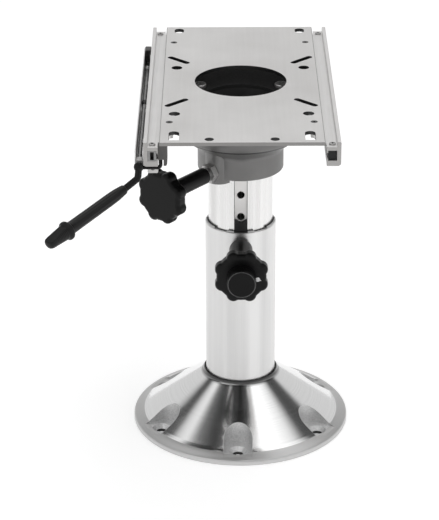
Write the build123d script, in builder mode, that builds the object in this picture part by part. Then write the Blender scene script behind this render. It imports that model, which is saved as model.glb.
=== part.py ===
from build123d import *
import os
from math import cos, radians, sin, sqrt

os.makedirs("parts", exist_ok=True)

# Boat seat pedestal: round floor base, telescoping column, swivel housing and fore-aft seat slide.
# The origin is on the column's axis at the floor, X to the right, -Y to the front, Z up.

# General fits
press_gap = 0.02
running_gap = 0.08
body_gap = 0.3
blind_gap = 1.0
end_gap = 0.2
edge_break = 0.8

# How far a cutting shape runs past the surface, and how near a corner must lie to be picked
cut_past = 1.0
pick_range = 0.1

# Base casting
base_radius = 114.3
rim_height = 5.0
band_width = 11.3
band_rise = 4.0
neck_rise = 2.5
neck_lip = 1.0
neck_height = 58.0
neck_fillet = 4.0
foot_fillet = 30.0
base_wall = 4.5
hub_wall = 5.4
tube_seat = 12.0
seat_ledge = 4.5
lip_gap = 1.2
lip_gap_depth = 4.0
rib_width = 4.0
pocket_count = 6
pocket_start = -92.0
pocket_radius = 15.0
pocket_inset = 24.3
pocket_reach = 18.5
pocket_floor = 7.0
pocket_wall = 4.0
bolt_inset = 19.3
bolt_hole = 4.2
bolt_sink = 9.2

# Column tubes
outer_radius = 36.5
outer_wall = 1.7
outer_chamfer = 0.68
outer_length = 216.0
inner_radius = 33.2
inner_wall = 4.2
inner_length = 250.0
groove_width = 13.6
groove_depth = 2.3
pin_hole = 4.0
pin_pitch = 24.0
pin_holes = 7
first_pin_hole = 70.0
bushing_length = 40.0
bushing_lip_rise = 1.5
bushing_lip_inset = 0.5
bushing_slots = 5
bushing_slot_angle = 28.0
bushing_slot_depth = 6.0
key_side_gap = 0.2
key_height = 13.6
key_scoop = 5.0
guide_height = 12.0
guide_flange = 2.5
guide_gap = 0.3

# Swivel housing and what seats in it
stem_showing = 60.0
barrel_radius = 44.0
barrel_height = 24.0
barrel_round = 1.5
flare_out = 14.0
flare_rise = 10.5
flare_fillet = 8.0
drum_radius = 64.0
drum_rise = 12.0
drum_wall = 4.5
shoulder_in = 1.6
shoulder_drop = 0.6
housing_height = 70.5
bowl_floor = 5.0
ledge_thick = 6.0
ledge_drop = 12.5
ledge_bore = 24.0
bushing_wall = 4.7
swivel_bushing_height = 15.0
boss_angle = 38.0
boss_sink = 8.0
boss_radius = 13.5
boss_drop = 4.0
boss_flat = 0.5
housing_rib = 3.5
housing_ribs = 6
thrust_thick = 2.0
plug_height = 20.0
spindle_thread = 8.0
retainer_thick = 2.5
retainer_radius = 34.0
retainer_chamfer = 0.5
nut_flats = 24.0
nut_height = 7.0

# Seat slide
lower_thick = 3.5
lower_half_width = 74.0
lower_half_length = 75.0
lower_back_reach = 90.0
lower_corner = 4.0
lower_bore = 39.0
lower_bolt_x = 42.0
lower_bolt_y = 34.0
lower_bolt = 4.0
bolt_head = 7.0
bolt_head_height = 3.2
boss_post = 6.5
bolt_depth = 20.0
bolt_socket = 2.4
bolt_head_round = 1.4
plate_gap = 14.5
plate_thick = 3.5
plate_half_width = 78.0
plate_half_length = 171.5
plate_bore = 46.3
plate_corner = 1.0
seat_slot = 63.5
seat_slot_length = 30.0
seat_slot_width = 6.5
end_slot_x = 64.5
end_slot_width = 10.0
front_slot_inset = 18.0
front_slot_length = 23.0
back_slot_inset = 12.75
back_slot_length = 14.5
round_hole = 5.5
round_hole_x = 65.0
round_hole_back = 39.6
round_hole_front = -94.6
sink_hole = 2.2
sink_head = 4.4
sink_x = 31.0
sink_inset = 8.5
rivet_x = 69.5
rivet_back = 120.4
rivet_front = -117.0
rivet_radius = 2.4
rivet_head = 3.4
rivet_dimple = 1.2
rivet_dimple_depth = 1.5

# Side rails
rail_half_width = 93.0
rail_height = 19.0
rail_step = 1.5
rail_step_gap = 0.6
rail_width = 13.6
lip_width = 4.0
rail_flange = 14.0
rail_flange_thick = 3.2
flange_setback = 10.0
rail_inner_wall = 1.2
hollow_width = 8.5
hollow_bottom = 5.4
hollow_height = 10.1
rail_corner = 3.0
slot_low = 7.6
slot_height = 5.6
runner_foot = 16.6
runner_height = 11.0
runner_lap = 4.6
runner_gap = 0.5
runner_screw = 2.2
runner_screw_head = 4.0
runner_screw_inset = 6.0
plug_length = 12.0
plug_gap = 0.2
plug_slot_width = 3.5
plug_slot_height = 8.0
plug_slot_depth = 6.0
plug_recess = 2.5
plug_screw = 1.8
plug_screw_head = 3.2
plug_screw_head_height = 1.2
plug_screw_inset = 8.5
plug_screw_depth = 8.0

# Latch, its channel and the lever
rack_width = 8.0
rack_thick = 3.2
rack_notch = 5.4
rack_notch_depth = 4.0
rack_pitch = 12.7
rack_notches = 11
channel_width = 8.5
channel_wall = 1.0
channel_rise = 13.0
channel_drop = 5.0
channel_front_inset = 7.5
channel_back_inset = 36.5
shaft_out = 4.5
shaft_drop = 0.5
shaft_radius = 2.2
shaft_front_inset = 0.5
shaft_back_inset = 2.0
ball_radius = 4.8
finger_radius = 1.8
finger_gap = 1.1
finger_drop = 1.8
finger_rise = 6.0
front_finger_inset = 3.5
finger_bend = 3.0
collar_radius = 2.7
collar_half = 5.0
window_half = 10.0
window_reach = 1.7
window_rise = 4.0
channel_rivet = 1.6
channel_rivet_rise = 9.5
channel_rivets_count = 4
channel_rivet_pitch = 82.0
channel_rivet_centre = -8.0
channel_rivet_cap = 2.72
channel_rivet_head = 0.8
channel_rivet_grip = 3.0
clip_length = 8.0
front_clip_rise = 4.5
rear_clip_length = 13.0
rear_clip_rise = 15.5
lever_coil_radius = 2.65
lever_wire = 0.22
lever_coil_pitch = 0.9
lever_coil_length = 9.0
lever_coil_inset = 24.0
handle_radius = 3.3
handle_bend = 5.0
neck_run = (-0.8, -4.5, -9.7)
elbow_run = (-11.7, -5.5, -8.0)
handle_direction = (-68.5, -81.0, -22.0)
grip_setback = 2.0
grip_length = 106.0
grip_root = 5.0
grip_waist = 6.3
grip_waist_at = 27.3
grip_shoulder = 8.1
grip_shoulder_at = 54.6
grip_swell = 8.8
grip_swell_end = 2.0
grip_collar = 10.4
grip_collar_at = 78.0
grip_collar_width = 4.0
grip_bevel = 0.8
grip_step = 0.6
grip_nub = 8.5
grip_nub_end = 7.4
grip_nub_taper = 6.0
grip_tip = 6.4
grip_tip_round = 2.5
grip_bore_depth = 32.0
stop_lap = 8.8
stop_rise = 0.3
stop_shelf_rise = 6.4
stop_front_inset = 1.0
stop_length = 17.0
stop_foot = 3.4
stop_bevel = 1.0
lug_width = 10.0
lug_length = 7.0
lug_drop = 9.0
lug_inset = 6.0
lug_hole = 1.8
lug_chamfer = 1.0

# Lobed knobs
lobe_count = 8
lobe_body = 25.0
lobe_radius = 7.0
lobe_centre = 21.0
lobe_blend = 3.0
head_thick = 14.0
head_round = 4.0
height_knob_drop = 17.0
height_neck = 12.0
height_neck_gap = 1.5
height_neck_length = 58.0
height_boss = 7.5
height_boss_chamfer = 0.6
boss_end_gap = 1.5
neck_round = 3.0
height_boss_stand = 13.5
height_stud = 6.0
height_stud_depth = 37.0
pin_radius = 3.0
pin_collar = 5.6
pin_collar_gap = 7.0
pin_collar_width = 3.0
spring_bore = 8.0
spring_bush = 6.0
pin_wire = 0.7
pin_coil_radius = 4.9
pin_coil_turns = 5
pin_coil_gap = 0.05
button_radius = 14.5
button_thick = 14.6
button_round = 1.2
swivel_knob_rise = 8.0
swivel_neck = 8.4
swivel_neck_round = 1.0
stud_showing = 4.0
swivel_neck_length = 59.0
swivel_stud = 5.0
swivel_stud_depth = 20.0
lock_nut_flats = 17.0
lock_nut_height = 7.0
pad_radius = 4.0
pad_length = 3.0

# Levels and radii that follow from the sizes above
outer_top = tube_seat + outer_length
outer_bore = outer_radius - outer_wall
housing_bottom = outer_top + stem_showing
housing_top = housing_bottom + housing_height
ledge_top = housing_top - ledge_drop
ledge_bottom = ledge_top - ledge_thick
inner_top = ledge_bottom - thrust_thick
inner_bottom = inner_top - inner_length
inner_bore = inner_radius - inner_wall
groove_floor = inner_radius - groove_depth
swivel_bore = inner_radius + bushing_wall
bushing_bore = inner_radius + running_gap
lower_top = housing_top + lower_thick
plate_bottom = lower_top + plate_gap
plate_top = plate_bottom + plate_thick
rivet_middle = (rivet_back + rivet_front) / 2
rivet_spacing = rivet_back - rivet_front
rail_top = plate_bottom - rail_step
rail_bottom = rail_top - rail_height
rail_inner = rail_half_width - rail_width
flange_bottom = plate_bottom - rail_flange_thick
hollow_inner = rail_inner + rail_inner_wall
hollow_low = rail_bottom + hollow_bottom
rail_slot_low = rail_bottom + slot_low
hollow_centre = hollow_inner + hollow_width / 2
plug_screw_y = plate_half_length - plug_screw_inset
runner_screw_x = lower_half_width - runner_screw_inset
runner_screw_pitch = 4 * rack_pitch
front_slot_y = front_slot_inset - plate_half_length
back_slot_y = plate_half_length - back_slot_inset
boss_offset = barrel_radius - boss_sink
boss_face = boss_offset + boss_radius - boss_flat
height_knob_z = outer_top - height_knob_drop
height_neck_start = outer_radius + height_neck_gap
height_boss_reach = outer_radius + height_boss_stand
swivel_knob_z = housing_bottom + swivel_knob_rise
swivel_neck_start = boss_face + lock_nut_height + stud_showing
channel_outer = -rail_half_width - channel_width
channel_top = rail_bottom + channel_rise
channel_bottom = rail_bottom - channel_drop
channel_front = channel_front_inset - plate_half_length
channel_back = plate_half_length - channel_back_inset
shaft_x = -rail_half_width - shaft_out
shaft_z = rail_bottom - shaft_drop
shaft_front = shaft_front_inset - plate_half_length
shaft_back = channel_back - shaft_back_inset
finger_x = -lower_half_width - finger_gap - finger_radius
finger_z = shaft_z - finger_drop
finger_top = shaft_z + finger_rise
front_finger_y = front_finger_inset - plate_half_length
channel_rivet_z = shaft_z + channel_rivet_rise

knob_axis_dir = (-sin(radians(boss_angle)), -cos(radians(boss_angle)), 0)
knob_side_dir = (cos(radians(boss_angle)), -sin(radians(boss_angle)), 0)
swivel_plane = Plane(origin=(0, 0, swivel_knob_z), x_dir=knob_side_dir, z_dir=knob_axis_dir)
height_plane = Plane(origin=(0, 0, height_knob_z), x_dir=(1, 0, 0), z_dir=(0, -1, 0))

# Floor base: a cone on a flat band, with six screw pockets, hollow and ribbed below
band_edge = base_radius - band_width
band_top = rim_height + band_rise
neck_radius = outer_radius + lip_gap + neck_lip
cone_meet = neck_height - neck_rise
cone_slope = (cone_meet - band_top) / (band_edge - neck_radius)
pocket_centre = base_radius - pocket_inset
bolt_circle = base_radius - bolt_inset
socket_radius = outer_radius + press_gap
hub_radius = outer_radius + hub_wall
inner_cone_top = cone_meet - base_wall - (hub_radius - neck_radius) * cone_slope


def corners_at(outline, axis, level):
    return outline.vertices().filter_by_position(axis, level - pick_range, level + pick_range)


with BuildPart() as base_cavity:
    with BuildSketch(Plane.XZ):
        with BuildLine():
            Polyline(
                (hub_radius, -cut_past),
                (hub_radius, inner_cone_top),
                (band_edge, band_top - base_wall),
                (base_radius - base_wall, rim_height - base_wall),
                (base_radius - base_wall, -cut_past),
                close=True,
            )
        make_face()
    revolve(axis=Axis.Z)
    with BuildSketch(Plane.XY.offset(-2 * cut_past)):
        with PolarLocations(pocket_centre, pocket_count, start_angle=pocket_start):
            Circle(pocket_radius + pocket_wall)
            with Locations((pocket_reach / 2, 0)):
                Rectangle(pocket_reach, 2 * (pocket_radius + pocket_wall))
    extrude(amount=neck_height, mode=Mode.SUBTRACT)
    with BuildSketch(Plane.XY.offset(rim_height - base_wall / 2)):
        with PolarLocations(base_radius / 2, pocket_count, start_angle=pocket_start + 180 / pocket_count):
            Rectangle(base_radius, rib_width)
    extrude(amount=neck_height, mode=Mode.SUBTRACT)

with BuildPart() as base:
    with BuildSketch(Plane.XZ) as base_section:
        with BuildLine():
            Polyline(
                (outer_radius - seat_ledge, 0),
                (base_radius, 0),
                (base_radius, rim_height),
                (band_edge, band_top),
                (neck_radius, cone_meet),
                (neck_radius, neck_height),
                (outer_radius + lip_gap, neck_height),
                (outer_radius + lip_gap, neck_height - lip_gap_depth),
                (socket_radius, neck_height - lip_gap_depth),
                (socket_radius, tube_seat),
                (outer_radius - seat_ledge, tube_seat),
                close=True,
            )
        make_face()
        neck_corner = corners_at(base_section, Axis.Y, cone_meet)
        fillet(neck_corner, neck_fillet)
        foot_corner = corners_at(base_section, Axis.Y, band_top)
        fillet(foot_corner, foot_fillet)
        rim_corner = corners_at(base_section, Axis.X, base_radius)
        fillet(rim_corner.sort_by(Axis.Y)[-1], rim_height / 2)
    revolve(axis=Axis.Z)
    add(base_cavity.part, mode=Mode.SUBTRACT)
    with BuildSketch(Plane.XY.offset(pocket_floor)):
        with PolarLocations(pocket_centre, pocket_count, start_angle=pocket_start):
            Circle(pocket_radius)
            with Locations((pocket_reach / 2, 0)):
                Rectangle(pocket_reach, 2 * pocket_radius)
    extrude(amount=neck_height, mode=Mode.SUBTRACT)
    with Locations((0, 0, pocket_floor)):
        with PolarLocations(bolt_circle, pocket_count, start_angle=pocket_start):
            CounterSinkHole(bolt_hole, bolt_sink, depth=pocket_floor)
base.part.label = "base"
export_step(base.part, "parts/base.step")

# Outer column tube, with the hole for the height knob's threaded boss
with BuildPart() as outer_tube:
    with BuildSketch(Plane.XY.offset(tube_seat)):
        Circle(outer_radius)
        Circle(outer_bore, mode=Mode.SUBTRACT)
    extrude(amount=outer_length)
    chamfer(outer_tube.edges().group_by(Axis.Z)[-1].sort_by(SortBy.LENGTH)[-1], outer_chamfer)
    with BuildSketch(height_plane):
        Circle(height_boss + press_gap)
    extrude(amount=outer_radius + cut_past, mode=Mode.SUBTRACT)
outer_tube.part.label = "outer_tube"
export_step(outer_tube.part, "parts/outer_tube.step")

# Plastic bushing at the column's mouth: a slotted sleeve with lips over the rim and a key in the groove
key_inner = groove_floor + body_gap
bushing_radius = outer_bore - press_gap
bushing_lip = outer_radius - bushing_lip_inset
key_width = groove_width - 2 * key_side_gap
with BuildPart() as column_bushing:
    with BuildSketch(Plane.XY.offset(outer_top - bushing_length)):
        Circle(bushing_radius)
        Circle(bushing_bore, mode=Mode.SUBTRACT)
    extrude(amount=bushing_length)
    with BuildSketch(Plane.XY.offset(outer_top)):
        Circle(bushing_lip)
        Circle(bushing_bore, mode=Mode.SUBTRACT)
    extrude(amount=bushing_lip_rise)
    with BuildSketch(Plane.XY.offset(outer_top - bushing_slot_depth)):
        with PolarLocations(inner_radius, bushing_slots, start_angle=-90 + 180 / bushing_slots):
            Rectangle(inner_radius / 2, inner_radius * radians(bushing_slot_angle))
    extrude(amount=bushing_slot_depth + bushing_lip_rise, mode=Mode.SUBTRACT)
    with BuildSketch(Plane.XY.offset(outer_top - bushing_length)):
        Circle(bushing_radius)
        with Locations((0, -key_inner)):
            Rectangle(key_width, bushing_radius, align=(Align.CENTER, Align.MAX), mode=Mode.INTERSECT)
    extrude(amount=bushing_length + key_height)
    with BuildSketch(Plane.XZ):
        with Locations((0, outer_top + key_height + key_scoop / 2)):
            Circle(key_scoop)
    extrude(amount=outer_radius, mode=Mode.SUBTRACT)
    with BuildSketch(height_plane):
        Circle(pin_radius + body_gap)
    extrude(amount=outer_radius, mode=Mode.SUBTRACT)
column_bushing.part.label = "column_bushing"
export_step(column_bushing.part, "parts/column_bushing.step")

# Threaded boss in the tube wall, which the height knob's stud screws into
with BuildPart() as knob_boss:
    with BuildSketch(height_plane.offset(outer_bore + running_gap)):
        Circle(height_boss)
        Circle(height_stud + running_gap, mode=Mode.SUBTRACT)
    extrude(amount=height_boss_reach - outer_bore - running_gap)
    chamfer(knob_boss.edges().group_by(Axis.Y)[0].sort_by(SortBy.LENGTH)[-1], height_boss_chamfer)
knob_boss.part.label = "knob_boss"
export_step(knob_boss.part, "parts/knob_boss.step")

# Inner column tube: a keyway down its front and a row of holes for the height pin
with BuildPart() as inner_tube:
    with BuildSketch(Plane.XY.offset(inner_bottom)):
        Circle(inner_radius)
        Circle(inner_bore, mode=Mode.SUBTRACT)
        with Locations((0, -groove_floor)):
            Rectangle(groove_width, inner_radius, align=(Align.CENTER, Align.MAX), mode=Mode.SUBTRACT)
    extrude(amount=inner_length)
    for hole_number in range(pin_holes):
        hole_z = inner_top - first_pin_hole - hole_number * pin_pitch
        with BuildSketch(Plane(origin=(0, 0, hole_z), x_dir=(1, 0, 0), z_dir=(0, -1, 0))):
            Circle(pin_hole)
        extrude(amount=inner_radius, mode=Mode.SUBTRACT)
inner_tube.part.label = "inner_tube"
export_step(inner_tube.part, "parts/inner_tube.step")

# Guide collar on the inner tube's foot
with BuildPart() as guide_collar:
    with BuildSketch(Plane.XZ):
        with BuildLine():
            Polyline(
                (inner_radius + press_gap, inner_bottom + guide_height),
                (outer_bore - guide_gap, inner_bottom + guide_height),
                (outer_bore - guide_gap, inner_bottom - guide_flange),
                (inner_bore, inner_bottom - guide_flange),
                (inner_bore, inner_bottom),
                (inner_radius + press_gap, inner_bottom),
                close=True,
            )
        make_face()
    revolve(axis=Axis.Z)
guide_collar.part.label = "guide_collar"
export_step(guide_collar.part, "parts/guide_collar.step")

# Plug in the tube's top end with the threaded spindle that holds the housing down
retainer_bottom = ledge_top + body_gap
retainer_top = retainer_bottom + retainer_thick
nut_top = retainer_top + nut_height
with BuildPart() as spindle_plug:
    with BuildSketch(Plane.XY.offset(inner_top - plug_height)):
        Circle(inner_bore - press_gap)
    extrude(amount=plug_height)
    with BuildSketch(Plane.XY.offset(inner_top)):
        Circle(ledge_bore - body_gap)
    extrude(amount=retainer_bottom - inner_top)
    with BuildSketch(Plane.XY.offset(retainer_bottom)):
        Circle(spindle_thread)
    extrude(amount=nut_top - retainer_bottom)
    chamfer(spindle_plug.edges().group_by(Axis.Z)[-1], edge_break)
spindle_plug.part.label = "spindle_plug"
export_step(spindle_plug.part, "parts/spindle_plug.step")

with BuildPart() as retaining_washer:
    with BuildSketch(Plane.XY.offset(retainer_bottom)):
        Circle(retainer_radius)
        Circle(spindle_thread + press_gap, mode=Mode.SUBTRACT)
    extrude(amount=retainer_thick)
    chamfer(retaining_washer.edges().group_by(Axis.Z)[-1].sort_by(SortBy.LENGTH)[-1], retainer_chamfer)
retaining_washer.part.label = "retaining_washer"
export_step(retaining_washer.part, "parts/retaining_washer.step")

with BuildPart() as retaining_nut:
    with BuildSketch(Plane.XY.offset(retainer_top)):
        RegularPolygon(nut_flats / 2, 6, major_radius=False)
        Circle(spindle_thread + press_gap, mode=Mode.SUBTRACT)
    extrude(amount=nut_height)
retaining_nut.part.label = "retaining_nut"
export_step(retaining_nut.part, "parts/retaining_nut.step")

# Swivel housing: a barrel round the tube, a flared open drum above it, and a boss for the lock stud
flare_radius = barrel_radius + flare_out
flare_foot = housing_bottom + barrel_height
flare_top = flare_foot + flare_rise
drum_foot = flare_top + drum_rise
drum_bore = drum_radius - drum_wall
with BuildPart() as bowl:
    with BuildSketch(Plane.XZ):
        with BuildLine():
            Polyline(
                (barrel_radius, housing_top + cut_past),
                (barrel_radius, flare_foot + bowl_floor),
                (flare_radius - drum_wall, flare_top + bowl_floor),
                (drum_bore, drum_foot),
                (drum_bore, housing_top + cut_past),
                close=True,
            )
        make_face()
    revolve(axis=Axis.Z)
    with BuildSketch(Plane.XY.offset(flare_foot)):
        with GridLocations(2 * lower_bolt_x, 2 * lower_bolt_y, 2, 2):
            Circle(boss_post)
        with PolarLocations(drum_radius / 2, housing_ribs):
            Rectangle(drum_radius, housing_rib)
    extrude(amount=housing_height, mode=Mode.SUBTRACT)

with BuildPart() as swivel_housing:
    with BuildSketch(Plane.XZ) as housing_section:
        with BuildLine():
            Polyline(
                (0, housing_bottom),
                (barrel_radius, housing_bottom),
                (barrel_radius, flare_foot),
                (flare_radius, flare_top),
            )
            ThreePointArc(
                (flare_radius, flare_top),
                (drum_radius - shoulder_in, flare_top + drum_rise / 2 - shoulder_drop),
                (drum_radius, drum_foot),
            )
            Polyline(
                (drum_radius, drum_foot),
                (drum_radius, housing_top),
                (0, housing_top),
                (0, housing_bottom),
            )
        make_face()
        flare_corner = corners_at(housing_section, Axis.Y, flare_foot)
        fillet(flare_corner, flare_fillet)
    revolve(axis=Axis.Z)
    barrel_rim = swivel_housing.edges().group_by(Axis.Z)[0]
    fillet(barrel_rim, barrel_round)
    with BuildSketch(Plane.XY.offset(housing_bottom - boss_drop)):
        with Locations(Vector(*knob_axis_dir) * boss_offset):
            Circle(boss_radius)
    extrude(amount=boss_drop + barrel_height + flare_rise)
    add(bowl.part, mode=Mode.SUBTRACT)
    with BuildSketch(Plane.XY.offset(housing_bottom - boss_drop)):
        Circle(swivel_bore)
    extrude(amount=ledge_bottom - housing_bottom + boss_drop, mode=Mode.SUBTRACT)
    with BuildSketch(Plane.XY.offset(ledge_bottom)):
        Circle(ledge_bore)
    extrude(amount=ledge_thick, mode=Mode.SUBTRACT)
    with BuildSketch(Plane.XY.offset(ledge_top)):
        Circle(lower_bore)
    extrude(amount=ledge_drop, mode=Mode.SUBTRACT)
    with BuildSketch(Plane.XY.offset(housing_top - bolt_depth)):
        with GridLocations(2 * lower_bolt_x, 2 * lower_bolt_y, 2, 2):
            Circle(lower_bolt + press_gap)
    extrude(amount=bolt_depth, mode=Mode.SUBTRACT)
    with BuildSketch(swivel_plane):
        Circle(swivel_stud + running_gap)
    extrude(amount=boss_face + cut_past, mode=Mode.SUBTRACT)
    with BuildSketch(swivel_plane.offset(boss_face)):
        Circle(boss_radius)
    extrude(amount=boss_flat + cut_past, mode=Mode.SUBTRACT)
swivel_housing.part.label = "swivel_housing"
export_step(swivel_housing.part, "parts/swivel_housing.step")

# Plastic bushings that the housing turns on, and the thrust washer that carries it
with BuildPart() as lower_swivel_bushing:
    with BuildSketch(Plane.XY.offset(housing_bottom)):
        Circle(swivel_bore - press_gap)
        Circle(bushing_bore, mode=Mode.SUBTRACT)
    extrude(amount=swivel_bushing_height)
    with BuildSketch(swivel_plane):
        Circle(swivel_stud + body_gap)
    extrude(amount=swivel_bore + cut_past, mode=Mode.SUBTRACT)
lower_swivel_bushing.part.label = "lower_swivel_bushing"
export_step(lower_swivel_bushing.part, "parts/lower_swivel_bushing.step")

with BuildPart() as upper_swivel_bushing:
    with BuildSketch(Plane.XY.offset(inner_top - swivel_bushing_height)):
        Circle(swivel_bore - press_gap)
        Circle(bushing_bore, mode=Mode.SUBTRACT)
    extrude(amount=swivel_bushing_height)
upper_swivel_bushing.part.label = "upper_swivel_bushing"
export_step(upper_swivel_bushing.part, "parts/upper_swivel_bushing.step")

with BuildPart() as thrust_washer:
    with BuildSketch(Plane.XY.offset(inner_top)):
        Circle(swivel_bore - press_gap)
        Circle(ledge_bore, mode=Mode.SUBTRACT)
    extrude(amount=thrust_thick)
thrust_washer.part.label = "thrust_washer"
export_step(thrust_washer.part, "parts/thrust_washer.step")

# Hexagonal lock nut against the boss, round the swivel knob's stud
with BuildPart() as swivel_lock_nut:
    with BuildSketch(swivel_plane.offset(boss_face)):
        RegularPolygon(lock_nut_flats / 2, 6, major_radius=False)
        Circle(swivel_stud + running_gap, mode=Mode.SUBTRACT)
    extrude(amount=lock_nut_height)
swivel_lock_nut.part.label = "swivel_lock_nut"
export_step(swivel_lock_nut.part, "parts/swivel_lock_nut.step")

# Lower slide plate, bolted to the drum, with a toothed rack and a runner along each side
with BuildPart() as lower_plate:
    with BuildSketch(Plane.XY.offset(housing_top)) as lower_outline:
        with Locations((0, lower_back_reach)):
            Rectangle(
                2 * lower_half_width,
                lower_back_reach + lower_half_length,
                align=(Align.CENTER, Align.MAX),
            )
        fillet(lower_outline.vertices(), lower_corner)
        Circle(lower_bore, mode=Mode.SUBTRACT)
        with GridLocations(2 * lower_bolt_x, 2 * lower_bolt_y, 2, 2):
            Circle(lower_bolt + press_gap, mode=Mode.SUBTRACT)
        with Locations((0, rack_pitch / 2)):
            with GridLocations(2 * runner_screw_x, runner_screw_pitch, 2, 3):
                Circle(runner_screw + press_gap, mode=Mode.SUBTRACT)
    extrude(amount=lower_thick)
lower_plate.part.label = "lower_plate"
export_step(lower_plate.part, "parts/lower_plate.step")

with BuildPart() as lower_bolts:
    with BuildSketch(Plane.XY.offset(housing_top - bolt_depth + blind_gap)):
        with GridLocations(2 * lower_bolt_x, 2 * lower_bolt_y, 2, 2):
            Circle(lower_bolt)
    extrude(amount=bolt_depth + lower_thick - blind_gap)
    with BuildSketch(Plane.XY.offset(lower_top)):
        with GridLocations(2 * lower_bolt_x, 2 * lower_bolt_y, 2, 2):
            Circle(bolt_head)
            RegularPolygon(bolt_socket, 6, mode=Mode.SUBTRACT)
    extrude(amount=bolt_head_height)
    with BuildSketch(Plane.XY.offset(lower_top)):
        with GridLocations(2 * lower_bolt_x, 2 * lower_bolt_y, 2, 2):
            Circle(lower_bolt)
    extrude(amount=bolt_head_height / 2)
    fillet(lower_bolts.edges().group_by(Axis.Z)[-1].filter_by(GeomType.CIRCLE), bolt_head_round)
lower_bolts.part.label = "lower_bolts"
export_step(lower_bolts.part, "parts/lower_bolts.step")

with BuildPart() as latch_rack:
    with BuildSketch(Plane.XY.offset(housing_top - rack_thick)):
        with Locations((-lower_half_width + rack_width / 2, 0)):
            Rectangle(rack_width, 2 * lower_half_length)
        with Locations((-lower_half_width, 0)):
            with GridLocations(0, rack_pitch, 1, rack_notches):
                SlotOverall(2 * rack_notch_depth, rack_notch, mode=Mode.SUBTRACT)
        with Locations((-runner_screw_x, rack_pitch / 2)):
            with GridLocations(0, runner_screw_pitch, 1, 3):
                Circle(runner_screw + press_gap, mode=Mode.SUBTRACT)
    extrude(amount=rack_thick)
latch_rack.part.label = "latch_rack"
export_step(latch_rack.part, "parts/latch_rack.step")

# Runners: a foot on the lower plate, and a head that slides inside the rail's hollow
runner_foot_inner = lower_half_width + runner_lap - runner_foot
runner_foot_outer = lower_half_width + runner_lap
head_inner = hollow_inner + runner_gap
head_outer = hollow_inner + hollow_width - runner_gap
head_low = hollow_low + runner_gap
head_high = hollow_low + hollow_height - runner_gap
tongue_low = rail_slot_low + runner_gap
tongue_high = rail_slot_low + slot_height - runner_gap
runner_top = lower_top + runner_height
with BuildPart() as right_runner:
    with BuildSketch(Plane.XZ):
        with BuildLine():
            Polyline(
                (runner_foot_inner, lower_top),
                (runner_foot_outer, lower_top),
                (runner_foot_outer, tongue_low),
                (head_inner, tongue_low),
                (head_inner, head_low),
                (head_outer, head_low),
                (head_outer, head_high),
                (head_inner, head_high),
                (head_inner, tongue_high),
                (runner_foot_outer, tongue_high),
                (runner_foot_outer, runner_top),
                (runner_foot_inner, runner_top),
                close=True,
            )
        make_face()
    extrude(amount=lower_half_length, both=True)
    with Locations((runner_screw_x, rack_pitch / 2, runner_top)):
        with GridLocations(0, runner_screw_pitch, 1, 3):
            CounterSinkHole(
                runner_screw + press_gap,
                runner_screw_head + press_gap,
                depth=runner_height,
                counter_sink_angle=90,
            )
right_runner.part.label = "right_runner"
export_step(right_runner.part, "parts/right_runner.step")

with BuildPart() as left_runner:
    add(right_runner.part.mirror(Plane.YZ))
left_runner.part.label = "left_runner"
export_step(left_runner.part, "parts/left_runner.step")

with BuildPart() as runner_screws:
    with Locations((0, rack_pitch / 2, 0)):
        with GridLocations(2 * runner_screw_x, runner_screw_pitch, 2, 3):
            with Locations((0, 0, housing_top - rack_thick)):
                Cylinder(
                    runner_screw,
                    rack_thick + lower_thick + runner_height,
                    align=(Align.CENTER, Align.CENTER, Align.MIN),
                )
            with Locations((0, 0, runner_top)):
                Cone(
                    runner_screw,
                    runner_screw_head,
                    runner_screw_head - runner_screw,
                    align=(Align.CENTER, Align.CENTER, Align.MAX),
                )
runner_screws.part.label = "runner_screws"
export_step(runner_screws.part, "parts/runner_screws.step")

# Cuts that the top plate and the rails' flanges share
with BuildPart() as plate_cuts:
    with BuildSketch(Plane.XY.offset(flange_bottom - cut_past)):
        with PolarLocations(seat_slot * sqrt(2), 4, start_angle=45):
            SlotOverall(seat_slot_length, seat_slot_width)
        with Locations((0, (round_hole_back + round_hole_front) / 2)):
            with GridLocations(2 * round_hole_x, round_hole_back - round_hole_front, 2, 2):
                Circle(round_hole)
        for slot_x in (-end_slot_x, end_slot_x):
            with Locations((slot_x, back_slot_y)):
                SlotOverall(back_slot_length, end_slot_width, rotation=90)
            with Locations((slot_x, front_slot_y - front_slot_length / 2)):
                Rectangle(
                    end_slot_width,
                    front_slot_length - end_slot_width / 2,
                    align=(Align.CENTER, Align.MIN),
                )
            with Locations((slot_x, front_slot_y + (front_slot_length - end_slot_width) / 2)):
                Circle(end_slot_width / 2)
        with Locations((0, rivet_middle)):
            with GridLocations(2 * rivet_x, rivet_spacing, 2, 2):
                Circle(rivet_radius + press_gap)
    extrude(amount=plate_top - flange_bottom + 2 * cut_past)

# Top plate that the seat bolts to
with BuildPart() as top_plate:
    with BuildSketch(Plane.XY.offset(plate_bottom)) as plate_outline:
        Rectangle(2 * plate_half_width, 2 * plate_half_length)
        fillet(plate_outline.vertices(), plate_corner)
        Circle(plate_bore, mode=Mode.SUBTRACT)
    extrude(amount=plate_thick)
    add(plate_cuts.part, mode=Mode.SUBTRACT)
    with Locations((0, sink_inset - plate_half_length, plate_top)):
        with GridLocations(2 * sink_x, 0, 2, 1):
            CounterSinkHole(sink_hole, sink_head, depth=plate_thick)
    with Locations((0, rivet_middle, plate_top)):
        with GridLocations(2 * rivet_x, rivet_spacing, 2, 2):
            CounterSinkHole(
                rivet_radius + press_gap,
                rivet_head + press_gap,
                depth=plate_thick,
                counter_sink_angle=90,
            )
top_plate.part.label = "top_plate"
export_step(top_plate.part, "parts/top_plate.step")

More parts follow.
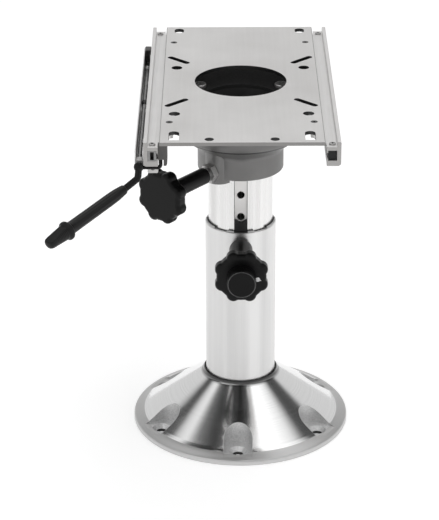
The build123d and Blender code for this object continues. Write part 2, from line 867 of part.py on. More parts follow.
# Side rails: a hollow for the runner, a flange under the plate and a lip beside it
lip_inner = rail_half_width - lip_width
flange_inner = rail_inner - rail_flange
hollow_top = hollow_low + hollow_height
flange_step = plate_half_width + rail_step_gap
with BuildPart() as right_rail:
    with BuildSketch(Plane.XZ) as rail_section:
        with BuildLine():
            Polyline(
                (flange_inner, flange_bottom),
                (flange_inner, plate_bottom),
                (flange_step, plate_bottom),
                (flange_step, rail_top),
                (lip_inner, rail_top),
                (lip_inner, plate_top),
                (rail_half_width, plate_top),
                (rail_half_width, rail_bottom),
                (rail_inner, rail_bottom),
                (rail_inner, flange_bottom),
                close=True,
            )
        make_face()
        lower_corners = corners_at(rail_section, Axis.Y, rail_bottom)
        fillet(lower_corners.sort_by(Axis.X)[-1], rail_corner)
        lip_corners = corners_at(rail_section, Axis.Y, plate_top)
        fillet(lip_corners, lip_width / 4)
        with Locations((hollow_inner, hollow_low)):
            Rectangle(hollow_width, hollow_height, align=(Align.MIN, Align.MIN), mode=Mode.SUBTRACT)
        with Locations((hollow_inner + cut_past, rail_slot_low)):
            Rectangle(
                rail_inner_wall + 2 * cut_past,
                slot_height,
                align=(Align.MAX, Align.MIN),
                mode=Mode.SUBTRACT,
            )
    extrude(amount=plate_half_length, both=True)
    add(plate_cuts.part, mode=Mode.SUBTRACT)
    with BuildSketch(Plane.XY.offset(flange_bottom)):
        with GridLocations(0, 2 * plate_half_length, 1, 2):
            Rectangle(2 * rail_inner, 2 * flange_setback)
    extrude(amount=rail_flange_thick, mode=Mode.SUBTRACT)
    with BuildSketch(Plane.XY.offset(hollow_top - cut_past)):
        with GridLocations(0, 2 * plug_screw_y, 1, 2):
            with Locations((hollow_centre, 0)):
                Circle(plug_screw + press_gap)
    extrude(amount=rail_top - hollow_top + 2 * cut_past, mode=Mode.SUBTRACT)
right_rail.part.label = "right_rail"
export_step(right_rail.part, "parts/right_rail.step")

with BuildPart() as left_rail:
    add(right_rail.part.mirror(Plane.YZ))
    with BuildSketch(Plane.YZ.offset(-rail_half_width - cut_past)):
        with Locations((channel_rivet_centre, channel_rivet_z)):
            with GridLocations(channel_rivet_pitch, 0, channel_rivets_count, 1):
                Circle(channel_rivet + press_gap)
    extrude(amount=lip_width, mode=Mode.SUBTRACT)
left_rail.part.label = "left_rail"
export_step(left_rail.part, "parts/left_rail.step")

with BuildPart() as plate_rivets:
    with Locations((0, rivet_middle, plate_top)):
        with GridLocations(2 * rivet_x, rivet_spacing, 2, 2):
            Cylinder(rivet_radius, plate_top - flange_bottom, align=(Align.CENTER, Align.CENTER, Align.MAX))
            Cone(
                rivet_radius,
                rivet_head,
                rivet_head - rivet_radius,
                align=(Align.CENTER, Align.CENTER, Align.MAX),
            )
            Cylinder(
                rivet_dimple,
                rivet_dimple_depth,
                align=(Align.CENTER, Align.CENTER, Align.MAX),
                mode=Mode.SUBTRACT,
            )
plate_rivets.part.label = "plate_rivets"
export_step(plate_rivets.part, "parts/plate_rivets.step")

# Plugs in the rails' ends: slotted ones on the left, set-in ones on the right
plug_z = hollow_low + hollow_height / 2
for plug_side in ("left", "right"):
    plug_mark = -1 if plug_side == "left" else 1
    plug_end = plate_half_length if plug_side == "left" else plate_half_length - plug_recess
    with BuildPart() as end_plugs:
        for end_mark in (-1, 1):
            with Locations((plug_mark * hollow_centre, end_mark * (plug_end - plug_length / 2), plug_z)):
                Box(hollow_width - 2 * plug_gap, plug_length, hollow_height - 2 * plug_gap)
            if plug_side == "left":
                with Locations((plug_mark * hollow_centre, end_mark * plate_half_length, plug_z)):
                    Box(plug_slot_width, 2 * plug_slot_depth, plug_slot_height, mode=Mode.SUBTRACT)
            with Locations((plug_mark * hollow_centre, end_mark * plug_screw_y, hollow_top)):
                Cylinder(plug_screw + press_gap, 2 * plug_screw_depth, mode=Mode.SUBTRACT)
    end_plugs.part.label = "end_plugs_" + plug_side
    export_step(end_plugs.part, "parts/end_plugs_" + plug_side + ".step")

with BuildPart() as plug_screws:
    with GridLocations(2 * hollow_centre, 2 * plug_screw_y, 2, 2):
        with Locations((0, 0, rail_top)):
            Cylinder(
                plug_screw_head,
                plug_screw_head_height,
                align=(Align.CENTER, Align.CENTER, Align.MIN),
            )
            Cylinder(
                plug_screw,
                rail_top - hollow_top + plug_screw_depth - blind_gap,
                align=(Align.CENTER, Align.CENTER, Align.MAX),
            )
    fillet(plug_screws.edges().group_by(Axis.Z)[-1], edge_break)
plug_screws.part.label = "plug_screws"
export_step(plug_screws.part, "parts/plug_screws.step")

# Channel outside the left rail, open upward, with a window for the latch's finger
with BuildPart() as latch_channel:
    with BuildSketch(Plane.XZ.offset(-channel_back)):
        with Locations((channel_outer, channel_bottom)):
            Rectangle(channel_width, channel_top - channel_bottom, align=(Align.MIN, Align.MIN))
        with Locations((channel_outer + channel_wall, channel_bottom + channel_wall)):
            Rectangle(
                channel_width - 2 * channel_wall,
                channel_top - channel_bottom,
                align=(Align.MIN, Align.MIN),
                mode=Mode.SUBTRACT,
            )
    extrude(amount=channel_back - channel_front)
    with Locations((shaft_x - window_reach, 0, channel_bottom - cut_past)):
        Box(
            channel_width,
            2 * window_half,
            shaft_z + window_rise - channel_bottom + cut_past,
            align=(Align.MIN, Align.CENTER, Align.MIN),
            mode=Mode.SUBTRACT,
        )
    with BuildSketch(Plane.YZ.offset(-rail_half_width + cut_past)):
        with Locations((channel_rivet_centre, channel_rivet_z)):
            with GridLocations(channel_rivet_pitch, 0, channel_rivets_count, 1):
                Circle(channel_rivet + press_gap)
    extrude(amount=-2 * channel_wall - cut_past, mode=Mode.SUBTRACT)
latch_channel.part.label = "latch_channel"
export_step(latch_channel.part, "parts/latch_channel.step")

with BuildPart() as channel_rivets:
    with BuildSketch(Plane.YZ.offset(-rail_half_width - channel_wall)):
        with Locations((channel_rivet_centre, channel_rivet_z)):
            with GridLocations(channel_rivet_pitch, 0, channel_rivets_count, 1):
                Circle(channel_rivet)
    extrude(amount=channel_wall + channel_rivet_grip)
    with BuildSketch(Plane.YZ.offset(-rail_half_width - channel_wall)):
        with Locations((channel_rivet_centre, channel_rivet_z)):
            with GridLocations(channel_rivet_pitch, 0, channel_rivets_count, 1):
                Circle(channel_rivet_cap)
    extrude(amount=-channel_rivet_head)
channel_rivets.part.label = "channel_rivets"
export_step(channel_rivets.part, "parts/channel_rivets.step")

# Clips in the channel that carry the lever's shaft
clip_low = channel_bottom + channel_wall
for clip_name, clip_front, clip_depth, clip_top in (
    ("front_clip", channel_front, clip_length, shaft_z + front_clip_rise),
    ("rear_clip", channel_back - rear_clip_length, rear_clip_length, shaft_z + rear_clip_rise),
):
    with BuildPart() as shaft_clip:
        with BuildSketch(Plane.XZ.offset(-clip_front - clip_depth)):
            with Locations((channel_outer + channel_wall + press_gap, clip_low)):
                Rectangle(
                    channel_width - 2 * channel_wall - 2 * press_gap,
                    clip_top - clip_low,
                    align=(Align.MIN, Align.MIN),
                )
            with Locations((shaft_x, shaft_z)):
                Circle(shaft_radius + running_gap, mode=Mode.SUBTRACT)
        extrude(amount=clip_depth)
        chamfer(shaft_clip.edges().group_by(Axis.Z)[-1], edge_break)
    shaft_clip.part.label = clip_name
    export_step(shaft_clip.part, "parts/" + clip_name + ".step")

# Stop bracket welded under the left rail's front end, which the front finger closes on
stop_inner = rail_inner - stop_lap
stop_bottom = rail_bottom + stop_rise
stop_shelf = rail_bottom + stop_shelf_rise
with BuildPart() as front_stop:
    with BuildSketch(Plane.XZ.offset(plate_half_length - stop_front_inset - stop_length)):
        with BuildLine():
            Polyline(
                (-rail_inner, flange_bottom),
                (-stop_inner, flange_bottom),
                (-stop_inner, stop_bottom + 2 * stop_bevel),
                (-stop_inner - stop_bevel, stop_bottom),
                (-stop_inner - stop_foot, stop_bottom),
                (-stop_inner - stop_foot, stop_shelf),
                (-rail_inner, stop_shelf),
                close=True,
            )
        make_face()
    extrude(amount=stop_length)
    with Locations((-rail_inner, stop_front_inset - plate_half_length, flange_bottom)):
        Box(
            stop_lap,
            flange_setback - stop_front_inset - body_gap,
            rail_flange_thick,
            align=(Align.MIN, Align.MIN, Align.MIN),
        )
front_stop.part.label = "front_stop"
export_step(front_stop.part, "parts/front_stop.step")

# Lug under the left rail's front end, behind the lever's finger
with BuildPart() as rail_lug:
    with Locations((-rail_inner, lug_inset - plate_half_length, rail_bottom)):
        Box(lug_width, lug_length, lug_drop, align=(Align.MAX, Align.MIN, Align.MAX))
    with BuildSketch(Plane.XZ.offset(plate_half_length)):
        with Locations((-rail_inner - lug_width / 2, rail_bottom - lug_drop / 2)):
            Circle(lug_hole)
    extrude(amount=-lug_inset - lug_length - cut_past, mode=Mode.SUBTRACT)
    chamfer(rail_lug.edges().group_by(Axis.Z)[0].filter_by(Axis.Y), lug_chamfer)
rail_lug.part.label = "rail_lug"
export_step(rail_lug.part, "parts/rail_lug.step")

# Lever: a round rod with a ball, a hooked finger at the front and a handle bent outward
shaft_ball = Vector(shaft_x, shaft_front, shaft_z)
neck = shaft_ball + Vector(*neck_run)
elbow = neck + Vector(*elbow_run)
handle_run = Vector(*handle_direction).normalized()
grip_start = elbow + handle_run * grip_setback
handle_end = grip_start + handle_run * (grip_bore_depth - blind_gap)
with BuildPart() as lever_rod:
    with BuildSketch(Plane.XZ.offset(-shaft_back)):
        with Locations((shaft_x, shaft_z)):
            Circle(shaft_radius)
    extrude(amount=shaft_back - shaft_front)
    with Locations(shaft_ball):
        Sphere(ball_radius)
    with BuildLine() as handle_path:
        FilletPolyline(shaft_ball, neck, elbow, handle_end, radius=handle_bend)
    with BuildSketch(Plane(origin=handle_path.line @ 0, z_dir=handle_path.line % 0)):
        Circle(handle_radius)
    sweep(path=handle_path.line)
    with BuildLine() as finger_path:
        FilletPolyline(
            (shaft_x, front_finger_y, finger_z),
            (finger_x, front_finger_y, finger_z),
            (finger_x, front_finger_y, finger_top),
            radius=finger_bend,
        )
    with BuildSketch(Plane(origin=finger_path.line @ 0, z_dir=finger_path.line % 0)):
        Circle(finger_radius)
    sweep(path=finger_path.line)
lever_rod.part.label = "lever_rod"
export_step(lever_rod.part, "parts/lever_rod.step")

# Latch pawl: a collar on the shaft with a finger that drops out of the rack's notch
with BuildPart() as latch_pawl:
    with BuildSketch(Plane.XZ.offset(-collar_half)):
        with Locations((shaft_x, shaft_z)):
            Circle(collar_radius)
    extrude(amount=2 * collar_half)
    with BuildLine() as pawl_path:
        FilletPolyline(
            (shaft_x, 0, finger_z),
            (finger_x, 0, finger_z),
            (finger_x, 0, finger_top),
            radius=finger_bend,
        )
    with BuildSketch(Plane(origin=pawl_path.line @ 0, z_dir=pawl_path.line % 0)):
        Circle(finger_radius)
    sweep(path=pawl_path.line)
    with BuildSketch(Plane.XZ.offset(-collar_half - cut_past)):
        with Locations((shaft_x, shaft_z)):
            Circle(shaft_radius + press_gap)
    extrude(amount=2 * collar_half + 2 * cut_past, mode=Mode.SUBTRACT)
latch_pawl.part.label = "latch_pawl"
export_step(latch_pawl.part, "parts/latch_pawl.step")

# Grip: a long swelling handle with a collar near its end
grip_side = Vector(0, 0, 1).cross(handle_run).normalized()
grip_plane = Plane(origin=grip_start, x_dir=grip_side, z_dir=grip_side.cross(handle_run))
with BuildPart() as lever_grip:
    with BuildSketch(grip_plane):
        with BuildLine():
            Line((0, 0), (grip_root, 0))
            Spline(
                (grip_root, 0),
                (grip_waist, grip_waist_at),
                (grip_shoulder, grip_shoulder_at),
                (grip_swell, grip_collar_at - grip_swell_end),
            )
            Polyline(
                (grip_swell, grip_collar_at - grip_swell_end),
                (grip_collar - grip_bevel, grip_collar_at - grip_bevel),
                (grip_collar, grip_collar_at + grip_step),
                (grip_collar, grip_collar_at + grip_collar_width - grip_bevel),
                (grip_collar - grip_bevel, grip_collar_at + grip_collar_width),
                (grip_nub, grip_collar_at + grip_collar_width + grip_step),
                (grip_nub_end, grip_length - grip_nub_taper),
                (grip_tip, grip_length - grip_tip_round),
                (grip_tip - grip_tip_round, grip_length),
                (0, grip_length),
                (0, 0),
            )
        make_face()
    revolve(axis=Axis(grip_start, handle_run))
    with BuildSketch(Plane(origin=grip_start, z_dir=handle_run)):
        Circle(handle_radius + press_gap)
    extrude(amount=grip_bore_depth, mode=Mode.SUBTRACT)
lever_grip.part.label = "lever_grip"
export_step(lever_grip.part, "parts/lever_grip.step")

# Torsion spring that brings the lever back down
with BuildPart() as lever_spring:
    with BuildLine() as coil:
        Helix(
            pitch=lever_coil_pitch,
            height=lever_coil_length,
            radius=lever_coil_radius,
            center=(shaft_x, shaft_back - lever_coil_inset - lever_coil_length, shaft_z),
            direction=(0, 1, 0),
        )
    with BuildSketch(Plane(origin=coil.line @ 0, z_dir=coil.line % 0)):
        RegularPolygon(lever_wire, 6)
    sweep(path=coil.line)
lever_spring.part.label = "lever_spring"
export_step(lever_spring.part, "parts/lever_spring.step")

# The outline that both knobs share: a round body with lobes blended into it
with BuildSketch() as lobed_outline:
    Circle(lobe_body)
    with PolarLocations(lobe_centre, lobe_count, start_angle=180 / lobe_count):
        Circle(lobe_radius)
    fillet(lobed_outline.vertices(), lobe_blend)

# Height knob, hollow for the boss, the stud and the sprung pin
height_head = height_neck_start + height_neck_length
height_face = height_head + head_thick
stud_end = height_neck_start + height_stud_depth
with BuildPart() as height_knob:
    with BuildSketch(height_plane.offset(height_head)):
        add(lobed_outline.sketch)
    extrude(amount=head_thick)
    fillet(height_knob.edges().group_by(Axis.Y)[0] + height_knob.edges().group_by(Axis.Y)[-1], head_round)
    with BuildSketch(height_plane.offset(height_neck_start)):
        Circle(height_neck)
    extrude(amount=height_neck_length)
    fillet(height_knob.edges().group_by(Axis.Y)[-1], neck_round)
    with BuildSketch(height_plane.offset(height_neck_start)):
        Circle(height_boss + 2 * body_gap)
    extrude(amount=height_boss_reach - height_neck_start + boss_end_gap, mode=Mode.SUBTRACT)
    with BuildSketch(height_plane.offset(height_neck_start)):
        Circle(height_stud + press_gap)
    extrude(amount=height_stud_depth, mode=Mode.SUBTRACT)
    with BuildSketch(height_plane.offset(stud_end)):
        Circle(spring_bore + press_gap)
    extrude(amount=height_face - stud_end, mode=Mode.SUBTRACT)
height_knob.part.label = "height_knob"
export_step(height_knob.part, "parts/height_knob.step")

with BuildPart() as height_stud_tube:
    with BuildSketch(height_plane.offset(outer_bore + body_gap)):
        Circle(height_stud)
        Circle(pin_radius + running_gap, mode=Mode.SUBTRACT)
    extrude(amount=stud_end - outer_bore - body_gap)
height_stud_tube.part.label = "height_stud"
export_step(height_stud_tube.part, "parts/height_stud.step")

with BuildPart() as pin_bush:
    with BuildSketch(height_plane.offset(height_face - spring_bush)):
        Circle(spring_bore)
        Circle(pin_radius + running_gap, mode=Mode.SUBTRACT)
    extrude(amount=spring_bush)
pin_bush.part.label = "pin_bush"
export_step(pin_bush.part, "parts/pin_bush.step")

pin_collar_at = stud_end + pin_collar_gap
coil_start = pin_collar_at + pin_collar_width + pin_wire + pin_coil_gap
coil_end = height_face - spring_bush - pin_wire - pin_coil_gap
with BuildPart() as pin_spring:
    with BuildLine() as pin_coil:
        Helix(
            pitch=(coil_end - coil_start) / pin_coil_turns,
            height=coil_end - coil_start,
            radius=pin_coil_radius,
            center=(0, -coil_start, height_knob_z),
            direction=(0, -1, 0),
        )
    with BuildSketch(Plane(origin=pin_coil.line @ 0, z_dir=pin_coil.line % 0)):
        RegularPolygon(pin_wire, 6)
    sweep(path=pin_coil.line)
pin_spring.part.label = "pin_spring"
export_step(pin_spring.part, "parts/pin_spring.step")

# Sprung lock pin, and the button in the knob's face that pulls it
pin_tip = groove_floor + body_gap
button_back = height_face + body_gap
with BuildPart() as lock_pin:
    with BuildSketch(height_plane.offset(pin_tip)):
        Circle(pin_radius)
    extrude(amount=button_back + button_thick / 2 - pin_tip)
    chamfer(lock_pin.edges().group_by(Axis.Y)[-1], edge_break)
    with BuildSketch(height_plane.offset(pin_collar_at)):
        Circle(pin_collar)
    extrude(amount=pin_collar_width)
lock_pin.part.label = "lock_pin"
export_step(lock_pin.part, "parts/lock_pin.step")

with BuildPart() as pin_button:
    with BuildSketch(height_plane.offset(button_back)):
        Circle(button_radius)
    extrude(amount=button_thick)
    fillet(pin_button.edges().group_by(Axis.Y)[0], button_round)
    with BuildSketch(height_plane.offset(button_back)):
        Circle(pin_radius + press_gap)
    extrude(amount=button_thick / 2 + end_gap, mode=Mode.SUBTRACT)
pin_button.part.label = "pin_button"
export_step(pin_button.part, "parts/pin_button.step")

# Swivel knob with its stud and the soft pad that presses on the tube
swivel_head = swivel_neck_start + swivel_neck_length
with BuildPart() as swivel_knob:
    with BuildSketch(swivel_plane.offset(swivel_head)):
        add(lobed_outline.sketch)
    extrude(amount=head_thick)
    head_axis = Axis((0, 0, swivel_knob_z), knob_axis_dir)
    head_edges = swivel_knob.edges().group_by(head_axis)
    fillet(head_edges[0] + head_edges[-1], head_round)
    with BuildSketch(swivel_plane.offset(swivel_neck_start)):
        Circle(swivel_neck)
    extrude(amount=swivel_neck_length)
    fillet(swivel_knob.edges().group_by(head_axis)[0], swivel_neck_round)
    with BuildSketch(swivel_plane.offset(swivel_neck_start)):
        Circle(swivel_stud + press_gap)
    extrude(amount=swivel_stud_depth, mode=Mode.SUBTRACT)
swivel_knob.part.label = "swivel_knob"
export_step(swivel_knob.part, "parts/swivel_knob.step")

pad_end = inner_radius + body_gap + pad_length
with BuildPart() as swivel_stud_rod:
    with BuildSketch(swivel_plane.offset(pad_end)):
        Circle(swivel_stud)
    extrude(amount=swivel_neck_start + swivel_stud_depth - pad_end - end_gap)
swivel_stud_rod.part.label = "swivel_stud"
export_step(swivel_stud_rod.part, "parts/swivel_stud.step")

with BuildPart() as swivel_pad:
    with BuildSketch(swivel_plane.offset(inner_radius + body_gap)):
        Circle(pad_radius)
    extrude(amount=pad_length)
swivel_pad.part.label = "swivel_pad"
export_step(swivel_pad.part, "parts/swivel_pad.step")
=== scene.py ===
import math
import bmesh
import bpy
from mathutils import Matrix, Vector


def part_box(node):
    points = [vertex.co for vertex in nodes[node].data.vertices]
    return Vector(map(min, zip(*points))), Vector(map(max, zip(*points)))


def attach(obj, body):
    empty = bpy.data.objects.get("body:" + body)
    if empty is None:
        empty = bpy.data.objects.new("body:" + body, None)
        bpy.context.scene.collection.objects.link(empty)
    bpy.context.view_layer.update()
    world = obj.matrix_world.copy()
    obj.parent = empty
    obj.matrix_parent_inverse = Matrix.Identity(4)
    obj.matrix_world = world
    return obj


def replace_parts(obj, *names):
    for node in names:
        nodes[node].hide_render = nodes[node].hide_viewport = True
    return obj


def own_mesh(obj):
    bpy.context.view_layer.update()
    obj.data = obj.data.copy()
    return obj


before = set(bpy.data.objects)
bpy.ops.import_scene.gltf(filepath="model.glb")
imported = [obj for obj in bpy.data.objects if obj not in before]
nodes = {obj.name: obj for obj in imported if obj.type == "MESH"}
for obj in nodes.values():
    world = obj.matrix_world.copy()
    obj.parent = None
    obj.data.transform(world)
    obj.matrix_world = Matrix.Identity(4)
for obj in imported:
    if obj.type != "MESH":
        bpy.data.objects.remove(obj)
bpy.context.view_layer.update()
scene = bpy.context.scene
print("frame loaded:", len(nodes), "nodes")

# helpers for node materials


def newMaterial(name, colour, metallic, roughness):
    mat = bpy.data.materials.new(name)
    mat.use_nodes = True
    shader = mat.node_tree.nodes["Principled BSDF"]
    shader.inputs["Base Color"].default_value = (*colour, 1)
    shader.inputs["Metallic"].default_value = metallic
    shader.inputs["Roughness"].default_value = roughness
    return mat, mat.node_tree, shader


def grey(value, warm=0.0):
    return (value * (1 + warm), value, value * (1 - warm))


def objectCoords(tree, scale=(1, 1, 1)):
    # a small scale draws a pattern out along that axis
    coords = tree.nodes.new("ShaderNodeTexCoord")
    mapping = tree.nodes.new("ShaderNodeMapping")
    mapping.inputs["Scale"].default_value = scale
    tree.links.new(coords.outputs["Object"], mapping.inputs["Vector"])
    return mapping.outputs["Vector"]


def axesOf(tree, kind):
    # X, Y and Z of a texture coordinate: the place on the object, or the way that a face looks
    coords = tree.nodes.new("ShaderNodeTexCoord")
    split = tree.nodes.new("ShaderNodeSeparateXYZ")
    tree.links.new(coords.outputs[kind], split.inputs["Vector"])
    return split.outputs


def maths(tree, operation, first, second=None):
    # each side is a number or another node's output
    node = tree.nodes.new("ShaderNodeMath")
    node.operation = operation
    for place, value in enumerate((first, second)):
        if isinstance(value, (int, float)):
            node.inputs[place].default_value = value
        elif value is not None:
            tree.links.new(value, node.inputs[place])
    return node.outputs["Value"]


def vectorMaths(tree, operation, first, second=None):
    # the second side is a fixed vector or another node's output
    node = tree.nodes.new("ShaderNodeVectorMath")
    node.operation = operation
    tree.links.new(first, node.inputs[0])
    if isinstance(second, tuple):
        node.inputs[1].default_value = second
    elif second is not None:
        tree.links.new(second, node.inputs[1])
    return node.outputs["Vector"]


def hypotenuse(tree, first, second):
    squares = [maths(tree, "MULTIPLY", side, side) for side in (first, second)]
    return maths(tree, "SQRT", maths(tree, "ADD", squares[0], squares[1]))


def noise(tree, vector, scale, detail, roughness):
    tex = tree.nodes.new("ShaderNodeTexNoise")
    tex.inputs["Scale"].default_value = scale
    tex.inputs["Detail"].default_value = detail
    tex.inputs["Roughness"].default_value = roughness
    tree.links.new(vector, tex.inputs["Vector"])
    return tex.outputs["Fac"]


def ramp(tree, fac, places, colours):
    # one colour for each place from 0 to 1
    node = tree.nodes.new("ShaderNodeValToRGB")
    stops = node.color_ramp.elements
    for end in (0, -1):
        stops[end].position = places[end]
        stops[end].color = (*colours[end], 1)
    for place, colour in zip(places[1:-1], colours[1:-1]):
        stop = stops.new(place)
        stop.color = (*colour, 1)
    tree.links.new(fac, node.inputs["Fac"])
    return node.outputs["Color"]


def spread(tree, fac, low, high, fromLow=0.3, fromHigh=0.7):
    # most of a noise lies between 0.3 and 0.7
    node = tree.nodes.new("ShaderNodeMapRange")
    node.inputs["From Min"].default_value = fromLow
    node.inputs["From Max"].default_value = fromHigh
    node.inputs["To Min"].default_value = low
    node.inputs["To Max"].default_value = high
    tree.links.new(fac, node.inputs["Value"])
    return node.outputs["Result"]


mixSockets = {"mask": 0, "first": 6, "second": 7, "result": 2}  # the colour sockets of a Mix node


def blend(tree, mask, first, second):
    # first where the mask is 0; second, a fixed colour or another node's output, where it is 1
    mix = tree.nodes.new("ShaderNodeMix")
    mix.data_type = "RGBA"
    tree.links.new(mask, mix.inputs[mixSockets["mask"]])
    tree.links.new(first, mix.inputs[mixSockets["first"]])
    if isinstance(second, tuple):
        mix.inputs[mixSockets["second"]].default_value = (*second, 1)
    else:
        tree.links.new(second, mix.inputs[mixSockets["second"]])
    return mix.outputs[mixSockets["result"]]


def mixTone(tree, shader, mask, first, second):
    # the blend becomes the base colour
    tone = blend(tree, mask, first, second)
    tree.links.new(tone, shader.inputs["Base Color"])
    return tone


def baseTone(tree, shader, fac, places, colours):
    # the base colour follows a pattern
    tone = ramp(tree, fac, places, colours)
    tree.links.new(tone, shader.inputs["Base Color"])
    return tone


def unevenGloss(tree, shader, fac, roughness, smoother, rougher):
    # the roughness follows a pattern, from a little below its given value to a little above
    rough = spread(tree, fac, roughness - smoother, roughness + rougher)
    tree.links.new(rough, shader.inputs["Roughness"])
    return rough


def bump(tree, shader, height, distance):
    node = tree.nodes.new("ShaderNodeBump")
    node.inputs["Distance"].default_value = distance
    node.inputs["Strength"].default_value = 1.0
    tree.links.new(height, node.inputs["Height"])
    tree.links.new(node.outputs["Normal"], shader.inputs["Normal"])


# one function for each kind of finish, below the settings of its pattern

tubePattern = {
    "streaks": {"detail": 4, "roughness": 0.65}, "bands": {"detail": 1, "roughness": 0.4},
    "stops": (0.36, 0.5, 0.62)}


def drawnTube(name, look):
    # drawn aluminium tube: long streaks down the tube, uneven in tone and gloss
    mat, tree, shader = newMaterial(name, look["colour"], 1.0, look["roughness"])
    spot = tree.nodes.new("ShaderNodeTexCoord").outputs["Object"]
    around = vectorMaths(tree, "NORMALIZE", vectorMaths(tree, "MULTIPLY", spot, (1, 1, 0)))
    down = vectorMaths(tree, "MULTIPLY", spot, (0, 0, look["drift"]))
    wall = vectorMaths(tree, "ADD", around, down)
    streaks = noise(tree, wall, look["streakScale"], **tubePattern["streaks"])
    bands = noise(tree, wall, look["bandScale"], **tubePattern["bands"])
    fac = maths(tree, "ADD", maths(tree, "MULTIPLY", streaks, look["streakShare"]),
                maths(tree, "MULTIPLY", bands, 1 - look["streakShare"]))
    tones = (look["darker"], look["colour"], look["lighter"])
    tone = baseTone(tree, shader, fac, tubePattern["stops"], tones)
    rough = unevenGloss(tree, shader, streaks, look["roughness"], look["vary"], look["vary"])
    bump(tree, shader, streaks, look["depth"])
    if "grooveHalf" in look:
        # the pressed groove down the front is duller than the polished wall; a painted shade line runs along
        # each side of it, where its walls fall into shade
        place = axesOf(tree, "Object")
        offside = maths(tree, "ABSOLUTE", place["X"])
        front = maths(tree, "LESS_THAN", place["Y"], 0)
        within = maths(tree, "MULTIPLY", front, maths(tree, "LESS_THAN", offside, look["grooveHalf"]))
        side = maths(tree, "GREATER_THAN", offside, look["grooveHalf"] - look["grooveLine"])
        grooved = mixTone(tree, shader, within, tone, look["grooveColour"])
        mixTone(tree, shader, maths(tree, "MULTIPLY", within, side), grooved, look["grooveShadeColour"])
        grooveRough = maths(tree, "MULTIPLY", within, look["grooveRough"])
        tree.links.new(maths(tree, "MAXIMUM", grooveRough, rough), shader.inputs["Roughness"])
    return mat


# turns is the number of whole turns that keep the angle above 0 before it is folded
basePattern = {
    "lines": {"detail": 3, "roughness": 0.7}, "grains": {"detail": 4, "roughness": 0.6},
    "stops": (0.35, 0.65), "turns": 2}


def castBase(name, look):
    # one casting with three finishes: a polished cone, a satin rim and blasted screw pockets
    mat, tree, shader = newMaterial(name, look["colour"], 1.0, look["coneRough"])
    place = axesOf(tree, "Object")
    distance = hypotenuse(tree, place["X"], place["Y"])
    angle = maths(tree, "ARCTAN2", place["Y"], place["X"])
    radial = tree.nodes.new("ShaderNodeCombineXYZ")
    tree.links.new(distance, radial.inputs["X"])
    lines = noise(tree, radial.outputs["Vector"], look["lineScale"], **basePattern["lines"])
    grains = noise(tree, objectCoords(tree), look["grainScale"], **basePattern["grains"])
    # the pockets repeat round the base, so the angle is folded to one pocket
    turned = maths(tree, "SUBTRACT", angle, math.radians(look["pocketTurn"]))
    above = maths(tree, "ADD", turned, basePattern["turns"] * 2 * math.pi)
    folded = maths(tree, "PINGPONG", above, math.pi / look["pockets"])
    outward = maths(tree, "MULTIPLY", distance, maths(tree, "COSINE", folded))
    sideways = maths(tree, "MULTIPLY", distance, maths(tree, "SINE", folded))
    past = maths(tree, "MINIMUM", maths(tree, "SUBTRACT", outward, look["pocketSpot"]), 0.0)
    near = maths(tree, "LESS_THAN", hypotenuse(tree, past, sideways), look["pocketRadius"])
    short = maths(tree, "LESS_THAN", outward, look["pocketEnd"])
    belowRim = maths(tree, "LESS_THAN", place["Z"], look["underside"])
    blasted = maths(tree, "MAXIMUM", maths(tree, "MULTIPLY", near, short), belowRim)
    onRim = maths(tree, "GREATER_THAN", distance, look["rimStart"])
    coneRough = spread(tree, lines, look["coneRough"] - look["vary"], look["coneRough"] + look["vary"])
    rimRough = maths(tree, "MULTIPLY", onRim, look["rimRough"] - look["coneRough"])
    pocketRough = maths(tree, "MULTIPLY", blasted, look["pocketRough"] - look["coneRough"])
    rough = maths(tree, "ADD", coneRough, maths(tree, "MAXIMUM", rimRough, pocketRough))
    tree.links.new(rough, shader.inputs["Roughness"])
    polished = ramp(tree, lines, basePattern["stops"], (look["colour"], look["lighter"]))
    pebbled = ramp(tree, grains, basePattern["stops"], (look["pocketDark"], look["pocketLight"]))
    rimmed = mixTone(tree, shader, onRim, blend(tree, blasted, polished, pebbled), look["rimColour"])
    # painted shade: the gap round the tube is painted nearly black, fading out across the neck, and so are
    # the bores of the screw holes
    neckShade = spread(tree, distance, 1, 0, look["neckGap"], look["neckRadius"])
    offHole = hypotenuse(tree, maths(tree, "SUBTRACT", outward, look["holeSpot"]), sideways)
    holeShade = maths(tree, "LESS_THAN", offHole, look["holeRadius"])
    mixTone(tree, shader, maths(tree, "MAXIMUM", neckShade, holeShade), rimmed, look["paintedShadeColour"])
    pits = maths(tree, "MULTIPLY", maths(tree, "MULTIPLY", grains, blasted), look["grainDepth"])
    height = maths(tree, "ADD", maths(tree, "MULTIPLY", lines, 1 - look["grainShare"]), pits)
    bump(tree, shader, height, look["depth"])
    shader.inputs["Anisotropic"].default_value = look["grain"]
    tangent = tree.nodes.new("ShaderNodeTangent")
    tangent.direction_type = "RADIAL"
    tangent.axis = "Z"
    tree.links.new(tangent.outputs["Tangent"], shader.inputs["Tangent"])
    return mat


millPattern = {
    "lines": {"detail": 5, "roughness": 0.65}, "clouds": {"detail": 3, "roughness": 0.55},
    "stops": (0.32, 0.5, 0.7), "smoother": 0.06, "rougher": 0.08}


